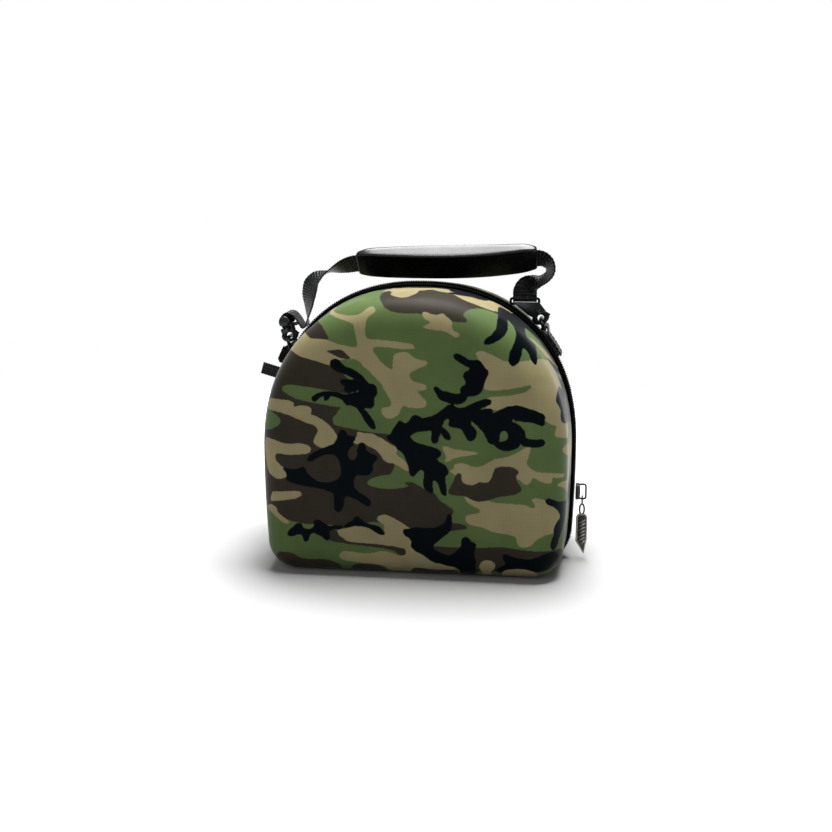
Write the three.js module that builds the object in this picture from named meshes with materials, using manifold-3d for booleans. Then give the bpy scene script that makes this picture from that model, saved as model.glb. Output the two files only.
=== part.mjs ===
// Hard-shell cap carrier: two moulded half shells joined by a zip band over the arch and a cloth
// hinge along the base, with a webbing carry strap, a moulded grip and a zip pull.
// Millimetres, +Z up, the front face towards -Y, the zip plane at y = 0, the base at z = 0.
import * as THREE from 'three';
import { mergeVertices } from 'three/addons/utils/BufferGeometryUtils.js';
import Module from 'manifold-3d';

const wasm = await Module();
wasm.setup();

// Case outline in the zip plane
const HALF_WIDTH = 127; // shell rim at its widest
const RIM_TOP = 232; // shell rim at the crown of the arch
const SPRING_HEIGHT = 98.5; // where the arch starts
const ARCH_POWER = 2.25; // a little squarer than an ellipse
const CORNER_RADIUS = 27;
const SIDE_TAPER = 4; // the sides lean in by this much towards the base

// Moulded half shells
const RIM_Y = 9; // rim of each shell, measured from the zip plane
const FACE_Y = 78; // edge of the face
const FACE_CROWN = 3;
const EDGE_RADIUS = 26;
const DRAFT = 2;
const WALL = 4;

// Zip band and cloth hinge
const SEAM_GAP = 0.3;
const ZIP_HALF_GAP = 0.2;
const ZIP_RISE = 4; // teeth above the rim
const PIPING_RISE = 2.4;
const ZIP_END_STEP = 2; // corner arc step where the teeth stop
const HINGE_THICKNESS = 2.5;

// Webbing and its hardware
const WEBBING_WIDTH = 20;
const WEBBING_THICKNESS = 1.5;
const HARDWARE_Y = 14.5; // middle of the strap hardware, behind the teeth
const ANCHOR_LIFT = PIPING_RISE + SEAM_GAP;
const RING_WIRE = 3;
const RING_DEPTH = 8.2;
const RING_HALF_SPAN = 11.5;
const EYE_INNER = RING_WIRE / 2 + 0.35;
const EYE_OUTER = EYE_INNER + 1.6;
const HOOK_LOOP_INNER = 2.7;
const HOOK_HALF_WIDTH = 7.6; // oval end of the hook's body
const HOOK_HALF_HEIGHT = 5.6;
const HOOK_LENGTH = 12.4; // loop middle to the bar that carries the webbing
const HOOK_BAR = 2.2;
const HOOK_PLATE = 3.6; // thickness of the body
const FLAT_BAR = { x: 84.5, z: 220.6 }; // bar of the right hook, whose eye faces the front
const FLAT_BODY = [[12, 3.9], [-10.6, 3.9], [2.5, 13.6]]; // body below that bar: x, drop
const BOSS = { x: 1.6, z: 1.8, radius: 4.4 }; // round ends of the left hook's bar, from its middle
const STRAP_END = 7.4; // sewn length of webbing above that bar

// Moulded grip
const GRIP_TILT = THREE.MathUtils.degToRad(43); // its face leans over from the vertical
const GRIP_WIDTH = 31;
const GRIP_DEPTH = 15;
const GRIP_SLOT = { width: 21.4, depth: 2.6, height: 2.9 };

// Zip slider and pull
const SLIDER_Z = 59;
const SLIDER_X = 131;
const PULL_X = 136.6;
const BAIL_WIRE = 1.6;

const MATERIALS = {
  cloth: { color: 0x4f5f38, roughness: 0.85, metalness: 0 },
  tape: { color: 0x0e0f11, roughness: 0.6, metalness: 0 },
  webbing: { color: 0x101113, roughness: 0.7, metalness: 0 },
  grip: { color: 0x08090b, roughness: 0.22, metalness: 0 },
  metal: { color: 0x14161a, roughness: 0.3, metalness: 0.8 },
  pull: { color: 0x4a4a4c, roughness: 0.35, metalness: 0.9 },
};

const model = new THREE.Group();

function add(name, geometry, finish) {
  const mesh = new THREE.Mesh(geometry, new THREE.MeshStandardMaterial(MATERIALS[finish]));
  mesh.name = name;
  model.add(mesh);
  return mesh;
}

// Solid helpers

function toGeometry(points, triangles) {
  let volume = 0;
  for (const [a, b, c] of triangles) {
    volume += points[a].dot(new THREE.Vector3().crossVectors(points[b], points[c]));
  }
  const outward = volume > 0 ? triangles : triangles.map(([a, b, c]) => [a, c, b]);
  const geometry = new THREE.BufferGeometry();
  geometry.setAttribute(
    'position',
    new THREE.Float32BufferAttribute(points.flatMap((p) => p.toArray()), 3),
  );
  geometry.setIndex(outward.flat());
  geometry.computeVertexNormals();
  return geometry;
}

// Skin a row of closed sections; the row itself closes, or ends in poles or in flat caps.
function loft(sections, { closed = false, poles = null } = {}) {
  const count = sections[0].length;
  const points = sections.flat();
  const triangles = [];
  const rows = closed ? sections.length : sections.length - 1;
  for (let i = 0; i < rows; i += 1) {
    const here = i * count;
    const next = ((i + 1) % sections.length) * count;
    for (let k = 0; k < count; k += 1) {
      const l = (k + 1) % count;
      triangles.push([here + k, here + l, next + l], [here + k, next + l, next + k]);
    }
  }
  const last = (sections.length - 1) * count;
  if (poles) {
    const [start, end] = [points.length, points.length + 1];
    points.push(...poles);
    for (let k = 0; k < count; k += 1) {
      const l = (k + 1) % count;
      triangles.push([start, l, k], [end, last + k, last + l]);
    }
  } else if (!closed) {
    for (const [offset, flip, section] of [[0, true, sections[0]], [last, false, sections.at(-1)]]) {
      for (const [a, b, c] of capFaces(section)) {
        triangles.push(flip ? [offset + a, offset + c, offset + b] : [offset + a, offset + b, offset + c]);
      }
    }
  }
  return toGeometry(points, triangles);
}

// Triangles of a flat closed section, turned the same way as its edge.
function capFaces(section) {
  const normal = new THREE.Vector3();
  section.forEach((p, i) => {
    normal.add(new THREE.Vector3().crossVectors(p, section[(i + 1) % section.length]));
  });
  const turn = new THREE.Quaternion().setFromUnitVectors(normal.normalize(), new THREE.Vector3(0, 0, 1));
  const flat = section.map((p) => {
    const q = p.clone().applyQuaternion(turn);
    return new THREE.Vector2(q.x, q.y);
  });
  return THREE.ShapeUtils.triangulateShape(flat, []);
}

function toManifold(geometry) {
  const bare = geometry.clone();
  bare.deleteAttribute('normal');
  if (bare.hasAttribute('uv')) bare.deleteAttribute('uv');
  const merged = mergeVertices(bare, 1e-4);
  return new wasm.Manifold(new wasm.Mesh({
    numProp: 3,
    vertProperties: new Float32Array(merged.attributes.position.array),
    triVerts: new Uint32Array(merged.index.array),
  }));
}

function fuse(geometries) {
  const mesh = geometries.map(toManifold).reduce((a, b) => a.add(b)).getMesh();
  const geometry = new THREE.BufferGeometry();
  geometry.setAttribute('position', new THREE.Float32BufferAttribute(mesh.vertProperties, 3));
  geometry.setIndex(Array.from(mesh.triVerts));
  geometry.computeVertexNormals();
  return geometry;
}

// Extrude a flat outline by depth about its own plane, then lay its axes along u, v and the
// cross product of both.
function plate(shape, depth, origin, u, v, curveSegments = 6) {
  const geometry = new THREE.ExtrudeGeometry(shape, { depth, bevelEnabled: false, curveSegments });
  geometry.translate(0, 0, -depth / 2);
  const w = new THREE.Vector3().crossVectors(u, v);
  geometry.applyMatrix4(new THREE.Matrix4().makeBasis(u, v, w).setPosition(origin));
  return geometry;
}

function roundedRect(width, height, radius) {
  const [x, y] = [width / 2, height / 2];
  const shape = new THREE.Shape();
  shape.moveTo(-x + radius, -y);
  shape.lineTo(x - radius, -y);
  shape.absarc(x - radius, -y + radius, radius, -Math.PI / 2, 0);
  shape.lineTo(x, y - radius);
  shape.absarc(x - radius, y - radius, radius, 0, Math.PI / 2);
  shape.lineTo(-x + radius, y);
  shape.absarc(-x + radius, y - radius, radius, Math.PI / 2, Math.PI);
  shape.lineTo(-x, -y + radius);
  shape.absarc(-x + radius, -y + radius, radius, Math.PI, 1.5 * Math.PI);
  return shape;
}

const X_AXIS = new THREE.Vector3(1, 0, 0);
const Y_AXIS = new THREE.Vector3(0, 1, 0);
const Z_AXIS = new THREE.Vector3(0, 0, 1);
const inZipPlane = (x, z, y = 0) => new THREE.Vector3(x, y, z);

// Case outline

const station = (x, z, nx, nz) => {
  const size = Math.hypot(nx, nz);
  return { x, z, nx: nx / size, nz: nz / size };
};

function sideSlope(z) {
  return (2 * SIDE_TAPER * (SPRING_HEIGHT - z)) / SPRING_HEIGHT ** 2;
}

function sideX(z) {
  return HALF_WIDTH - SIDE_TAPER * ((SPRING_HEIGHT - z) / SPRING_HEIGHT) ** 2;
}

function archStation(angle) {
  const rise = RIM_TOP - SPRING_HEIGHT;
  const x = HALF_WIDTH * Math.cos(angle) ** (2 / ARCH_POWER);
  const z = rise * Math.sin(angle) ** (2 / ARCH_POWER);
  const nx = x ** (ARCH_POWER - 1) / HALF_WIDTH ** ARCH_POWER;
  const nz = z ** (ARCH_POWER - 1) / rise ** ARCH_POWER;
  return station(x, SPRING_HEIGHT + z, nx, nz);
}

const STEPS = { base: 3, corner: 5, side: 4, arch: 13 };

// Right half from the middle of the base to just short of the crown.
function rightHalf() {
  let lean = 0;
  let cornerTop = CORNER_RADIUS;
  for (let i = 0; i < 6; i += 1) {
    lean = Math.atan(sideSlope(cornerTop));
    cornerTop = CORNER_RADIUS * (1 - Math.sin(lean));
  }
  const cornerX = sideX(cornerTop) - CORNER_RADIUS * Math.cos(lean);
  const half = [];
  for (let i = 1; i < STEPS.base; i += 1) half.push(station((cornerX * i) / STEPS.base, 0, 0, -1));
  for (let i = 0; i < STEPS.corner; i += 1) {
    const turn = -Math.PI / 2 + ((Math.PI / 2 - lean) * i) / STEPS.corner;
    const [c, s] = [Math.cos(turn), Math.sin(turn)];
    half.push(station(cornerX + CORNER_RADIUS * c, CORNER_RADIUS * (1 + s), c, s));
  }
  for (let i = 0; i < STEPS.side; i += 1) {
    const z = cornerTop + ((SPRING_HEIGHT - cornerTop) * i) / STEPS.side;
    half.push(station(sideX(z), z, 1, -sideSlope(z)));
  }
  for (let i = 0; i < STEPS.arch; i += 1) half.push(archStation((Math.PI / 2) * (i / STEPS.arch)));
  return half;
}

const mirrored = (half) => half.map((s) => station(-s.x, s.z, -s.nx, s.nz)).reverse();
const RIGHT = rightHalf();
const OUTLINE = [
  station(0, 0, 0, -1), ...RIGHT, station(0, RIM_TOP, 0, 1), ...mirrored(RIGHT),
];
const ZIP_START = STEPS.base + ZIP_END_STEP;
const ZIP_STATIONS = OUTLINE.slice(ZIP_START, OUTLINE.length - ZIP_START + 1);
const HINGE_STATIONS = [
  ...OUTLINE.slice(OUTLINE.length - ZIP_START), ...OUTLINE.slice(0, ZIP_START + 1),
];

const offset = (s, out, y) => inZipPlane(s.x + s.nx * out, s.z + s.nz * out, y);

// The outline at an angle above the spring line, on the right or (side = -1) the left.
function archAt(degrees, side) {
  const wanted = Math.tan(THREE.MathUtils.degToRad(degrees));
  let [low, high] = [0, Math.PI / 2];
  for (let i = 0; i < 40; i += 1) {
    const middle = (low + high) / 2;
    const s = archStation(middle);
    if ((s.z - SPRING_HEIGHT) / s.x < wanted) low = middle;
    else high = middle;
  }
  const s = archStation(low);
  return station(side * s.x, s.z, side * s.nx, s.nz);
}

// Half shells: outer skin from the face to the rim, then back along the inside

function shell(side) {
  const outer = shellRows(side, 0);
  const inner = shellRows(side, WALL);
  const middle = inZipPlane(0, 0.5 * RIM_TOP);
  const poles = [0, WALL].map((inset) => {
    const y = side * (FACE_Y + FACE_CROWN - inset);
    return inZipPlane(middle.x, middle.z, y);
  });
  return loft([...outer.reverse(), ...inner], { poles });
}

function shellRows(side, inset) {
  const radius = EDGE_RADIUS - inset;
  const straight = FACE_Y - EDGE_RADIUS;
  const rows = [];
  const ring = (draft, fillet, y) => OUTLINE.map((s) => {
    const lean = draft * (1 - Math.max(0, -s.nz));
    return offset(s, -lean - fillet - inset, side * y);
  });
  rows.push(ring(0, 0, RIM_Y), ring(DRAFT, 0, straight));
  for (const turn of [22.5, 45, 67.5, 90].map(THREE.MathUtils.degToRad)) {
    rows.push(ring(DRAFT, radius * (1 - Math.cos(turn)), straight + radius * Math.sin(turn)));
  }
  const edge = rows.at(-1);
  const middle = inZipPlane(0, 0.5 * RIM_TOP);
  for (const share of [0.7, 0.35]) {
    const bulge = FACE_CROWN * (1 - share ** 2);
    rows.push(edge.map((p) => inZipPlane(
      middle.x + share * (p.x - middle.x),
      middle.z + share * (p.z - middle.z),
      side * (FACE_Y - inset + bulge),
    )));
  }
  return rows;
}

add('front_shell', shell(-1), 'cloth');
add('back_shell', shell(1), 'cloth');

// Zip halves: sewn edge, piping, tape and teeth, from the seam to the zip plane
const ZIP_PROFILE = [
  { y: ZIP_HALF_GAP, out: -3 },
  { y: RIM_Y - SEAM_GAP, out: -3 },
  { y: RIM_Y - SEAM_GAP, out: 1 },
  { y: 7.9, out: PIPING_RISE },
  { y: 6.3, out: PIPING_RISE },
  { y: 5.6, out: 1.5 },
  { y: 3.9, out: 1.8 },
  { y: 3, out: 3.4 },
  { y: 1.8, out: ZIP_RISE },
  { y: ZIP_HALF_GAP, out: ZIP_RISE },
];

function zipHalf(side) {
  return loft(ZIP_STATIONS.map((s) => ZIP_PROFILE.map((p) => offset(s, p.out, side * p.y))));
}

add('zip_front', zipHalf(-1), 'tape');
add('zip_back', zipHalf(1), 'tape');

// Cloth hinge halves along the base, meeting on the hinge line; they stop short of the teeth
function hingeHalf(side) {
  const profile = [
    [ZIP_HALF_GAP, -SEAM_GAP], [RIM_Y - SEAM_GAP, -SEAM_GAP],
    [RIM_Y - SEAM_GAP, -SEAM_GAP - HINGE_THICKNESS], [ZIP_HALF_GAP, -SEAM_GAP - HINGE_THICKNESS],
  ];
  const sections = HINGE_STATIONS.map((s) => profile.map(([y, out]) => offset(s, out, side * y)));
  const trim = (near, far) => near.map((p, i) => {
    const step = new THREE.Vector3().subVectors(far[i], p);
    return p.clone().addScaledVector(step.normalize(), SEAM_GAP);
  });
  sections[0] = trim(sections[0], sections[1]);
  sections[sections.length - 1] = trim(sections.at(-1), sections.at(-2));
  return loft(sections);
}

add('hinge_front', hingeHalf(-1), 'tape');
add('hinge_back', hingeHalf(1), 'tape');

// Strap hardware on each shoulder: sewn anchor, D-ring, snap hook. The angles are seen from the
// middle of the spring line; the hook leans along (leanX, leanZ).
const SHOULDERS = [
  { name: 'left', side: -1, from: 28.2, to: 34.5, thickness: 9.5, leanX: -0.31, leanZ: 0.95 },
  { name: 'right', side: 1, from: 33.5, to: 44, thickness: 3.4, leanX: -0.42, leanZ: 0.91 },
];

// Webbing strip folded round the D-ring bar, as one outline in the zip plane
function anchor({ side, from, to, thickness }) {
  const steps = 6;
  const rows = [];
  for (let i = 0; i <= steps; i += 1) {
    const angle = from + ((to - from) * i) / steps;
    rows.push(archAt(angle, side));
  }
  const eye = offset(rows.at(-1), ANCHOR_LIFT + EYE_OUTER, 0);
  const strip = rows.slice(0, -1);
  const inner = strip.map((s) => offset(s, ANCHOR_LIFT, 0));
  const outer = strip.map((s) => offset(s, ANCHOR_LIFT + thickness, 0)).reverse();
  const top = rows.at(-1);
  const base = Math.atan2(-top.nz, -top.nx);
  const fold = [];
  for (let i = 0; i <= 8; i += 1) {
    const turn = base - side * (i / 8) * THREE.MathUtils.degToRad(200);
    fold.push(new THREE.Vector2(eye.x + EYE_OUTER * Math.cos(turn), eye.z + EYE_OUTER * Math.sin(turn)));
  }
  const flat = (p) => new THREE.Vector2(p.x, p.z);
  const shape = new THREE.Shape([...inner.map(flat), ...fold, ...outer.map(flat)]);
  const hole = new THREE.Path();
  hole.absarc(eye.x, eye.z, EYE_INNER, 0, 2 * Math.PI);
  shape.holes.push(hole);
  return { eye, geometry: plate(shape, WEBBING_WIDTH, inZipPlane(0, 0, HARDWARE_Y), X_AXIS, Z_AXIS, 5) };
}

// Closed wire ring whose straight bar lies along y at the anchor's fold
function dRing(eye, lean) {
  const corner = RING_DEPTH * 0.55;
  const route = [
    [-RING_HALF_SPAN, 0], [0, 0], [RING_HALF_SPAN, 0], [RING_HALF_SPAN + 0.6, corner],
    [RING_HALF_SPAN * 0.62, RING_DEPTH], [0, RING_DEPTH], [-RING_HALF_SPAN * 0.62, RING_DEPTH],
    [-RING_HALF_SPAN - 0.6, corner],
  ].map(([y, out]) => eye.clone().addScaledVector(lean, out).setY(HARDWARE_Y + y));
  const curve = new THREE.CatmullRomCurve3(route, true, 'catmullrom', 0.35);
  return wireRing(curve, RING_WIRE / 2, 26, 6, new THREE.Vector3().crossVectors(lean, Y_AXIS));
}

function wireRing(curve, radius, steps, sides, across) {
  const sections = [];
  for (let i = 0; i < steps; i += 1) {
    const middle = curve.getPointAt(i / steps);
    const out = new THREE.Vector3().crossVectors(curve.getTangentAt(i / steps), across).normalize();
    const section = [];
    for (let k = 0; k < sides; k += 1) {
      const turn = (2 * Math.PI * (k + 0.5)) / sides;
      section.push(middle.clone().addScaledVector(out, radius * Math.cos(turn))
        .addScaledVector(across, radius * Math.sin(turn)));
    }
    sections.push(section);
  }
  return loft(sections, { closed: true });
}

// Snap hook: cast body with a round hole below and a wide eye whose top bar carries the webbing.
// The eye lies across the zip, or along it where its bar has a place of its own (flatBar). The
// body then spreads out below that bar, close above the shell.
function snapHook(middle, lean, flatBar) {
  const across = new THREE.Vector3().crossVectors(Y_AXIS, lean);
  const at = (out) => middle.clone().addScaledVector(lean, out);
  const loop = new THREE.Shape();
  loop.absellipse(0, 0, HOOK_HALF_WIDTH, HOOK_HALF_HEIGHT, 0, 2 * Math.PI);
  const inside = new THREE.Path();
  inside.absellipse(0, 0, HOOK_LOOP_INNER, HOOK_LOOP_INNER, 0, 2 * Math.PI);
  loop.holes.push(inside);
  const eyeTop = HOOK_LENGTH + HOOK_BAR / 2;
  const eyeBottom = 6.8;
  const holeBottom = 8.6;
  const holeTop = HOOK_LENGTH - HOOK_BAR / 2;
  const holeWidth = WEBBING_WIDTH + 1.6;
  const frame = roundedRect(holeWidth + 2 * HOOK_BAR, eyeTop - eyeBottom, 1.6);
  const window = roundedRect(holeWidth, holeTop - holeBottom, 0.6);
  const shift = (holeTop + holeBottom - eyeTop - eyeBottom) / 2;
  frame.holes.push(new THREE.Path(window.getPoints(2).map((p) => new THREE.Vector2(p.x, p.y + shift))));
  const bodyBottom = HOOK_LOOP_INNER + 0.4;
  const bodyTop = 7.4;
  const bodyHalfWidth = 6.4;
  const spread = (out, width) => at(out).addScaledVector(across, width);
  const body = [
    spread(bodyBottom, -bodyHalfWidth),
    spread(bodyBottom, bodyHalfWidth),
    ...(flatBar
      ? FLAT_BODY.map(([x, drop]) => flatBar.clone().add(inZipPlane(x, -drop)))
      : [spread(bodyTop, bodyHalfWidth), spread(bodyTop, -bodyHalfWidth)]),
  ];
  const bodyShape = new THREE.Shape(body.map((p) => new THREE.Vector2(p.x, p.z)));
  const boss = new THREE.Shape();
  boss.absellipse(0, 0, BOSS.radius, BOSS.radius, 0, 2 * Math.PI);
  const bosses = [-1, 1].map((end) => {
    const place = at(HOOK_LENGTH).add(inZipPlane(BOSS.x, BOSS.z, (end * (holeWidth + HOOK_BAR)) / 2));
    return plate(boss, HOOK_BAR, place, X_AXIS, Z_AXIS, 7);
  });
  const belowBar = HOOK_LENGTH - (eyeTop + eyeBottom) / 2;
  return fuse([
    plate(loop, HOOK_PLATE, middle, across, lean, 7),
    flatBar
      ? plate(frame, HOOK_BAR, flatBar.clone().addScaledVector(Z_AXIS, -belowBar), X_AXIS, Z_AXIS, 2)
      : plate(frame, HOOK_BAR, at(HOOK_LENGTH - belowBar), Y_AXIS, lean, 2),
    plate(bodyShape, HOOK_PLATE, inZipPlane(0, 0, HARDWARE_Y), X_AXIS, Z_AXIS, 2),
    ...(flatBar ? [] : bosses),
  ]);
}

for (const shoulder of SHOULDERS) {
  const lean = inZipPlane(shoulder.leanX, shoulder.leanZ).normalize();
  const { eye, geometry } = anchor(shoulder);
  add(`anchor_${shoulder.name}`, geometry, 'webbing');
  add(`d_ring_${shoulder.name}`, dRing(eye, lean), 'metal');
  const reach = RING_DEPTH + HOOK_LOOP_INNER - RING_WIRE / 2 - 0.4;
  const middle = eye.clone().addScaledVector(lean, reach).setY(HARDWARE_Y);
  const flatBar = shoulder.side > 0 ? inZipPlane(FLAT_BAR.x, FLAT_BAR.z, HARDWARE_Y) : null;
  add(`snap_hook_${shoulder.name}`, snapHook(middle, lean, flatBar), 'metal');
  shoulder.bar = flatBar ?? middle.clone().addScaledVector(lean, HOOK_LENGTH);
}

// Carry strap: one webbing from the loop on the left hook, through the grip, to the right hook.
// twist turns the webbing about its run: 0 lies edge-on to the front, -90 faces the front.
const [LEFT_BAR, RIGHT_BAR] = SHOULDERS.map((s) => s.bar);
const STRAP_ROUTE = [
  { x: LEFT_BAR.x + 12.1, y: HARDWARE_Y, z: LEFT_BAR.z - 1.1, twist: 0 },
  { x: LEFT_BAR.x + 6.2, y: HARDWARE_Y, z: LEFT_BAR.z - 1.9, twist: 0 },
  { x: LEFT_BAR.x + 1.2, y: HARDWARE_Y, z: LEFT_BAR.z - 2.6, twist: 0 },
  { x: LEFT_BAR.x - 2, y: HARDWARE_Y, z: LEFT_BAR.z - 2.1, twist: 0 },
  { x: LEFT_BAR.x - 3, y: HARDWARE_Y, z: LEFT_BAR.z + 0.7, twist: 0 },
  { x: LEFT_BAR.x - 1.7, y: HARDWARE_Y, z: LEFT_BAR.z + 4.4, twist: 0 },
  { x: LEFT_BAR.x + 2.2, y: HARDWARE_Y, z: LEFT_BAR.z + 8.3, twist: 0 },
  { x: LEFT_BAR.x + 7, y: HARDWARE_Y, z: LEFT_BAR.z + 8.1, twist: 0 },
  { x: LEFT_BAR.x + 11.2, y: HARDWARE_Y, z: LEFT_BAR.z + 4, twist: 0 },
  { x: LEFT_BAR.x + 14.6, y: HARDWARE_Y, z: LEFT_BAR.z - 1.3, twist: 0 },
  { x: LEFT_BAR.x + 16.8, y: HARDWARE_Y, z: LEFT_BAR.z - 4, twist: 0 },
  { x: LEFT_BAR.x + 19, y: HARDWARE_Y, z: LEFT_BAR.z - 2.6, twist: 3 },
  { x: LEFT_BAR.x + 19.4, y: HARDWARE_Y, z: LEFT_BAR.z + 2.2, twist: 10 },
  { x: -101.4, y: 15, z: 211.5, twist: 32 },
  { x: -101, y: 15, z: 220.5, twist: 46 },
  { x: -99, y: 14.5, z: 229, twist: 50 },
  { x: -94.8, y: 14, z: 234.6, twist: 38 },
  { x: -88.5, y: 13.5, z: 238.2, twist: 15 },
  { x: -82.5, y: 13, z: 240.8, twist: -5 },
  { x: -76, y: 13, z: 243.2, twist: -22 },
  { x: -70, y: 13, z: 245.4, twist: -36 },
  { x: -64, y: 13, z: 247.3, twist: -44 },
  { x: -57.5, y: 13, z: 248.5, twist: -47 },
  { x: -30, y: 13, z: 248.2, twist: -47 },
  { x: 0, y: 13, z: 248.2, twist: -47 },
  { x: 30, y: 13, z: 248.8, twist: -47 },
  { x: 54, y: 13, z: 250.2, twist: -47 },
  { x: 76, y: 13, z: 252.5, twist: -47 },
  { x: 94, y: 13, z: 254.6, twist: -47 },
  { x: 99.5, y: 13, z: 253.6, twist: -42 },
  { x: 103.6, y: 13, z: 250.2, twist: -34 },
  { x: 105.3, y: 13, z: 245.4, twist: -25 },
  { x: 103.6, y: 13.5, z: 240, twist: -18 },
  { x: 97.4, y: 14, z: 235.6, twist: -20 },
  { x: 90.6, y: 14, z: 233.4, twist: -40 },
  { x: 86.2, y: 14, z: 230.6, twist: -64 },
  { x: 84.6, y: 13.8, z: 226.8, twist: -86 },
  { x: RIGHT_BAR.x, y: 13.7, z: RIGHT_BAR.z + 3.4, twist: -90 },
];

const GRIP_FIRST = STRAP_ROUTE.findIndex((r) => r.x === -57.5);
const GRIP_LAST = STRAP_ROUTE.findIndex((r) => r.x === 94);
const STRAP_CURVE = new THREE.CatmullRomCurve3(
  STRAP_ROUTE.map((r) => inZipPlane(r.x, r.z, r.y)),
  false,
  'centripetal',
);

// Point, across-webbing and thickness directions at a place counted in route rows
function strapFrame(place) {
  const last = STRAP_ROUTE.length - 1;
  const row = Math.min(Math.floor(place), last - 1);
  const share = place - row;
  const twist = THREE.MathUtils.degToRad(
    STRAP_ROUTE[row].twist * (1 - share) + STRAP_ROUTE[row + 1].twist * share,
  );
  const point = STRAP_CURVE.getPoint(place / last);
  const run = STRAP_CURVE.getTangent(place / last);
  const across = inZipPlane(run.z, -run.x).normalize().multiplyScalar(Math.sin(twist));
  across.y = -Math.cos(twist);
  across.addScaledVector(run, -across.dot(run)).normalize();
  return { point, across, thick: new THREE.Vector3().crossVectors(across, run).normalize() };
}

function ribbonSection({ point, across, thick }, width, depth) {
  return [[-1, -1], [1, -1], [1, 1], [-1, 1]].map(([a, b]) => point.clone()
    .addScaledVector(across, (a * width) / 2).addScaledVector(thick, (b * depth) / 2));
}

// Right end of the strap, doubled back round the hook's bar, as an outline in (y, z)
function strapEnd() {
  const hole = HOOK_BAR * 0.75;
  const reach = hole + WEBBING_THICKNESS;
  const half = WEBBING_THICKNESS + 0.05;
  const turn = Math.acos(half / reach);
  const fold = new THREE.Shape();
  fold.moveTo(half, STRAP_END);
  fold.lineTo(-half, STRAP_END);
  fold.absarc(0, 0, reach, Math.PI - turn, 2 * Math.PI + turn, false);
  const inside = new THREE.Path();
  inside.absellipse(0, 0, hole, hole, 0, 2 * Math.PI);
  fold.holes.push(inside);
  return plate(fold, WEBBING_WIDTH, RIGHT_BAR, Y_AXIS, Z_AXIS, 7);
}

function strap() {
  const sections = [];
  const perRow = 2;
  for (let i = 0; i <= (STRAP_ROUTE.length - 1) * perRow; i += 1) {
    sections.push(ribbonSection(strapFrame(i / perRow), WEBBING_WIDTH, WEBBING_THICKNESS));
  }
  return fuse([loft(sections), strapEnd()]);
}

add('strap', strap(), 'webbing');

// Moulded grip: D-shaped in section, hollow along its length for the strap, thinner at its ends
function grip() {
  const lengthwise = 14;
  const outer = [];
  const inner = [];
  for (let i = 0; i <= lengthwise; i += 1) {
    const share = i / lengthwise;
    const frame = strapFrame(GRIP_FIRST + (GRIP_LAST - GRIP_FIRST) * share);
    const up = inZipPlane(0, Math.cos(GRIP_TILT), -Math.sin(GRIP_TILT));
    const back = inZipPlane(0, Math.sin(GRIP_TILT), Math.cos(GRIP_TILT));
    const swell = Math.sin(Math.PI * Math.min(Math.max(share, 0.03), 0.97)) ** 0.22;
    const half = 11.6 + (GRIP_WIDTH / 2 - 11.6) * swell;
    const depth = 5.2 + (GRIP_DEPTH - 5.2) * swell;
    const place = (across, out) => frame.point.clone().addScaledVector(up, across)
      .addScaledVector(back, out - GRIP_SLOT.height);
    const wall = Math.min(2.6 + 6.4 * Math.sin(Math.PI * share) ** 0.9, 0.7 * depth);
    outer.push(gripSection(half, depth, wall).map(([a, b]) => place(a, b)));
    inner.push(slotSection().map(([a, b]) => place(a, b)));
  }
  return loft([...outer, ...inner.reverse()], { closed: true });
}

// Flat palm side at out = 0, an upright wall on the upper edge, crowned over the rest
function gripSection(half, depth, wall) {
  const lip = 0.1 * half;
  const section = [[-half * 0.9, 0], [0, 0], [half * 0.9, 0], [half, lip]];
  for (const degrees of [4, 30, 60, 90, 120, 150, 172]) {
    const turn = THREE.MathUtils.degToRad(degrees);
    const base = degrees < 90 ? wall : lip;
    section.push([half * Math.cos(turn), base + (depth - base) * Math.sin(turn) ** 0.75]);
  }
  return section;
}

function slotSection() {
  const [half, low] = [GRIP_SLOT.width / 2, GRIP_SLOT.height - GRIP_SLOT.depth / 2];
  const high = low + GRIP_SLOT.depth;
  return [
    [-half, low], [0, low], [half, low], [half, GRIP_SLOT.height], [half, high], [half * 0.7, high],
    [half * 0.4, high], [0, high], [-half * 0.4, high], [-half * 0.7, high], [-half, high],
  ];
}

add('grip', grip(), 'grip');

// Folded webbing tab sewn in behind the zip on the left side
function sideTab() {
  const TAB = { length: 22.5, width: 10, thickness: 3, z: 151, rise: 16 };
  const foot = archAt(THREE.MathUtils.radToDeg(Math.atan2(TAB.z - SPRING_HEIGHT, 120.2)), -1);
  const out = inZipPlane(-1, Math.tan(THREE.MathUtils.degToRad(TAB.rise))).normalize();
  const shape = new THREE.Shape();
  shape.moveTo(0, -TAB.thickness / 2);
  shape.lineTo(TAB.length - TAB.thickness / 2, -TAB.thickness / 2);
  shape.absarc(TAB.length - TAB.thickness / 2, 0, TAB.thickness / 2, -Math.PI / 2, Math.PI / 2);
  shape.lineTo(0, TAB.thickness / 2);
  const start = inZipPlane(foot.x, foot.z, RIM_Y + SEAM_GAP + TAB.thickness / 2).addScaledVector(out, 1.5);
  return plate(shape, TAB.width, start, out, Y_AXIS, 4);
}

add('side_tab', sideTab(), 'webbing');

// Zip slider: body over the teeth, bridge and an upright bail for the pull
const BAIL = { width: 7.6, height: 14.2 };

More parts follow.
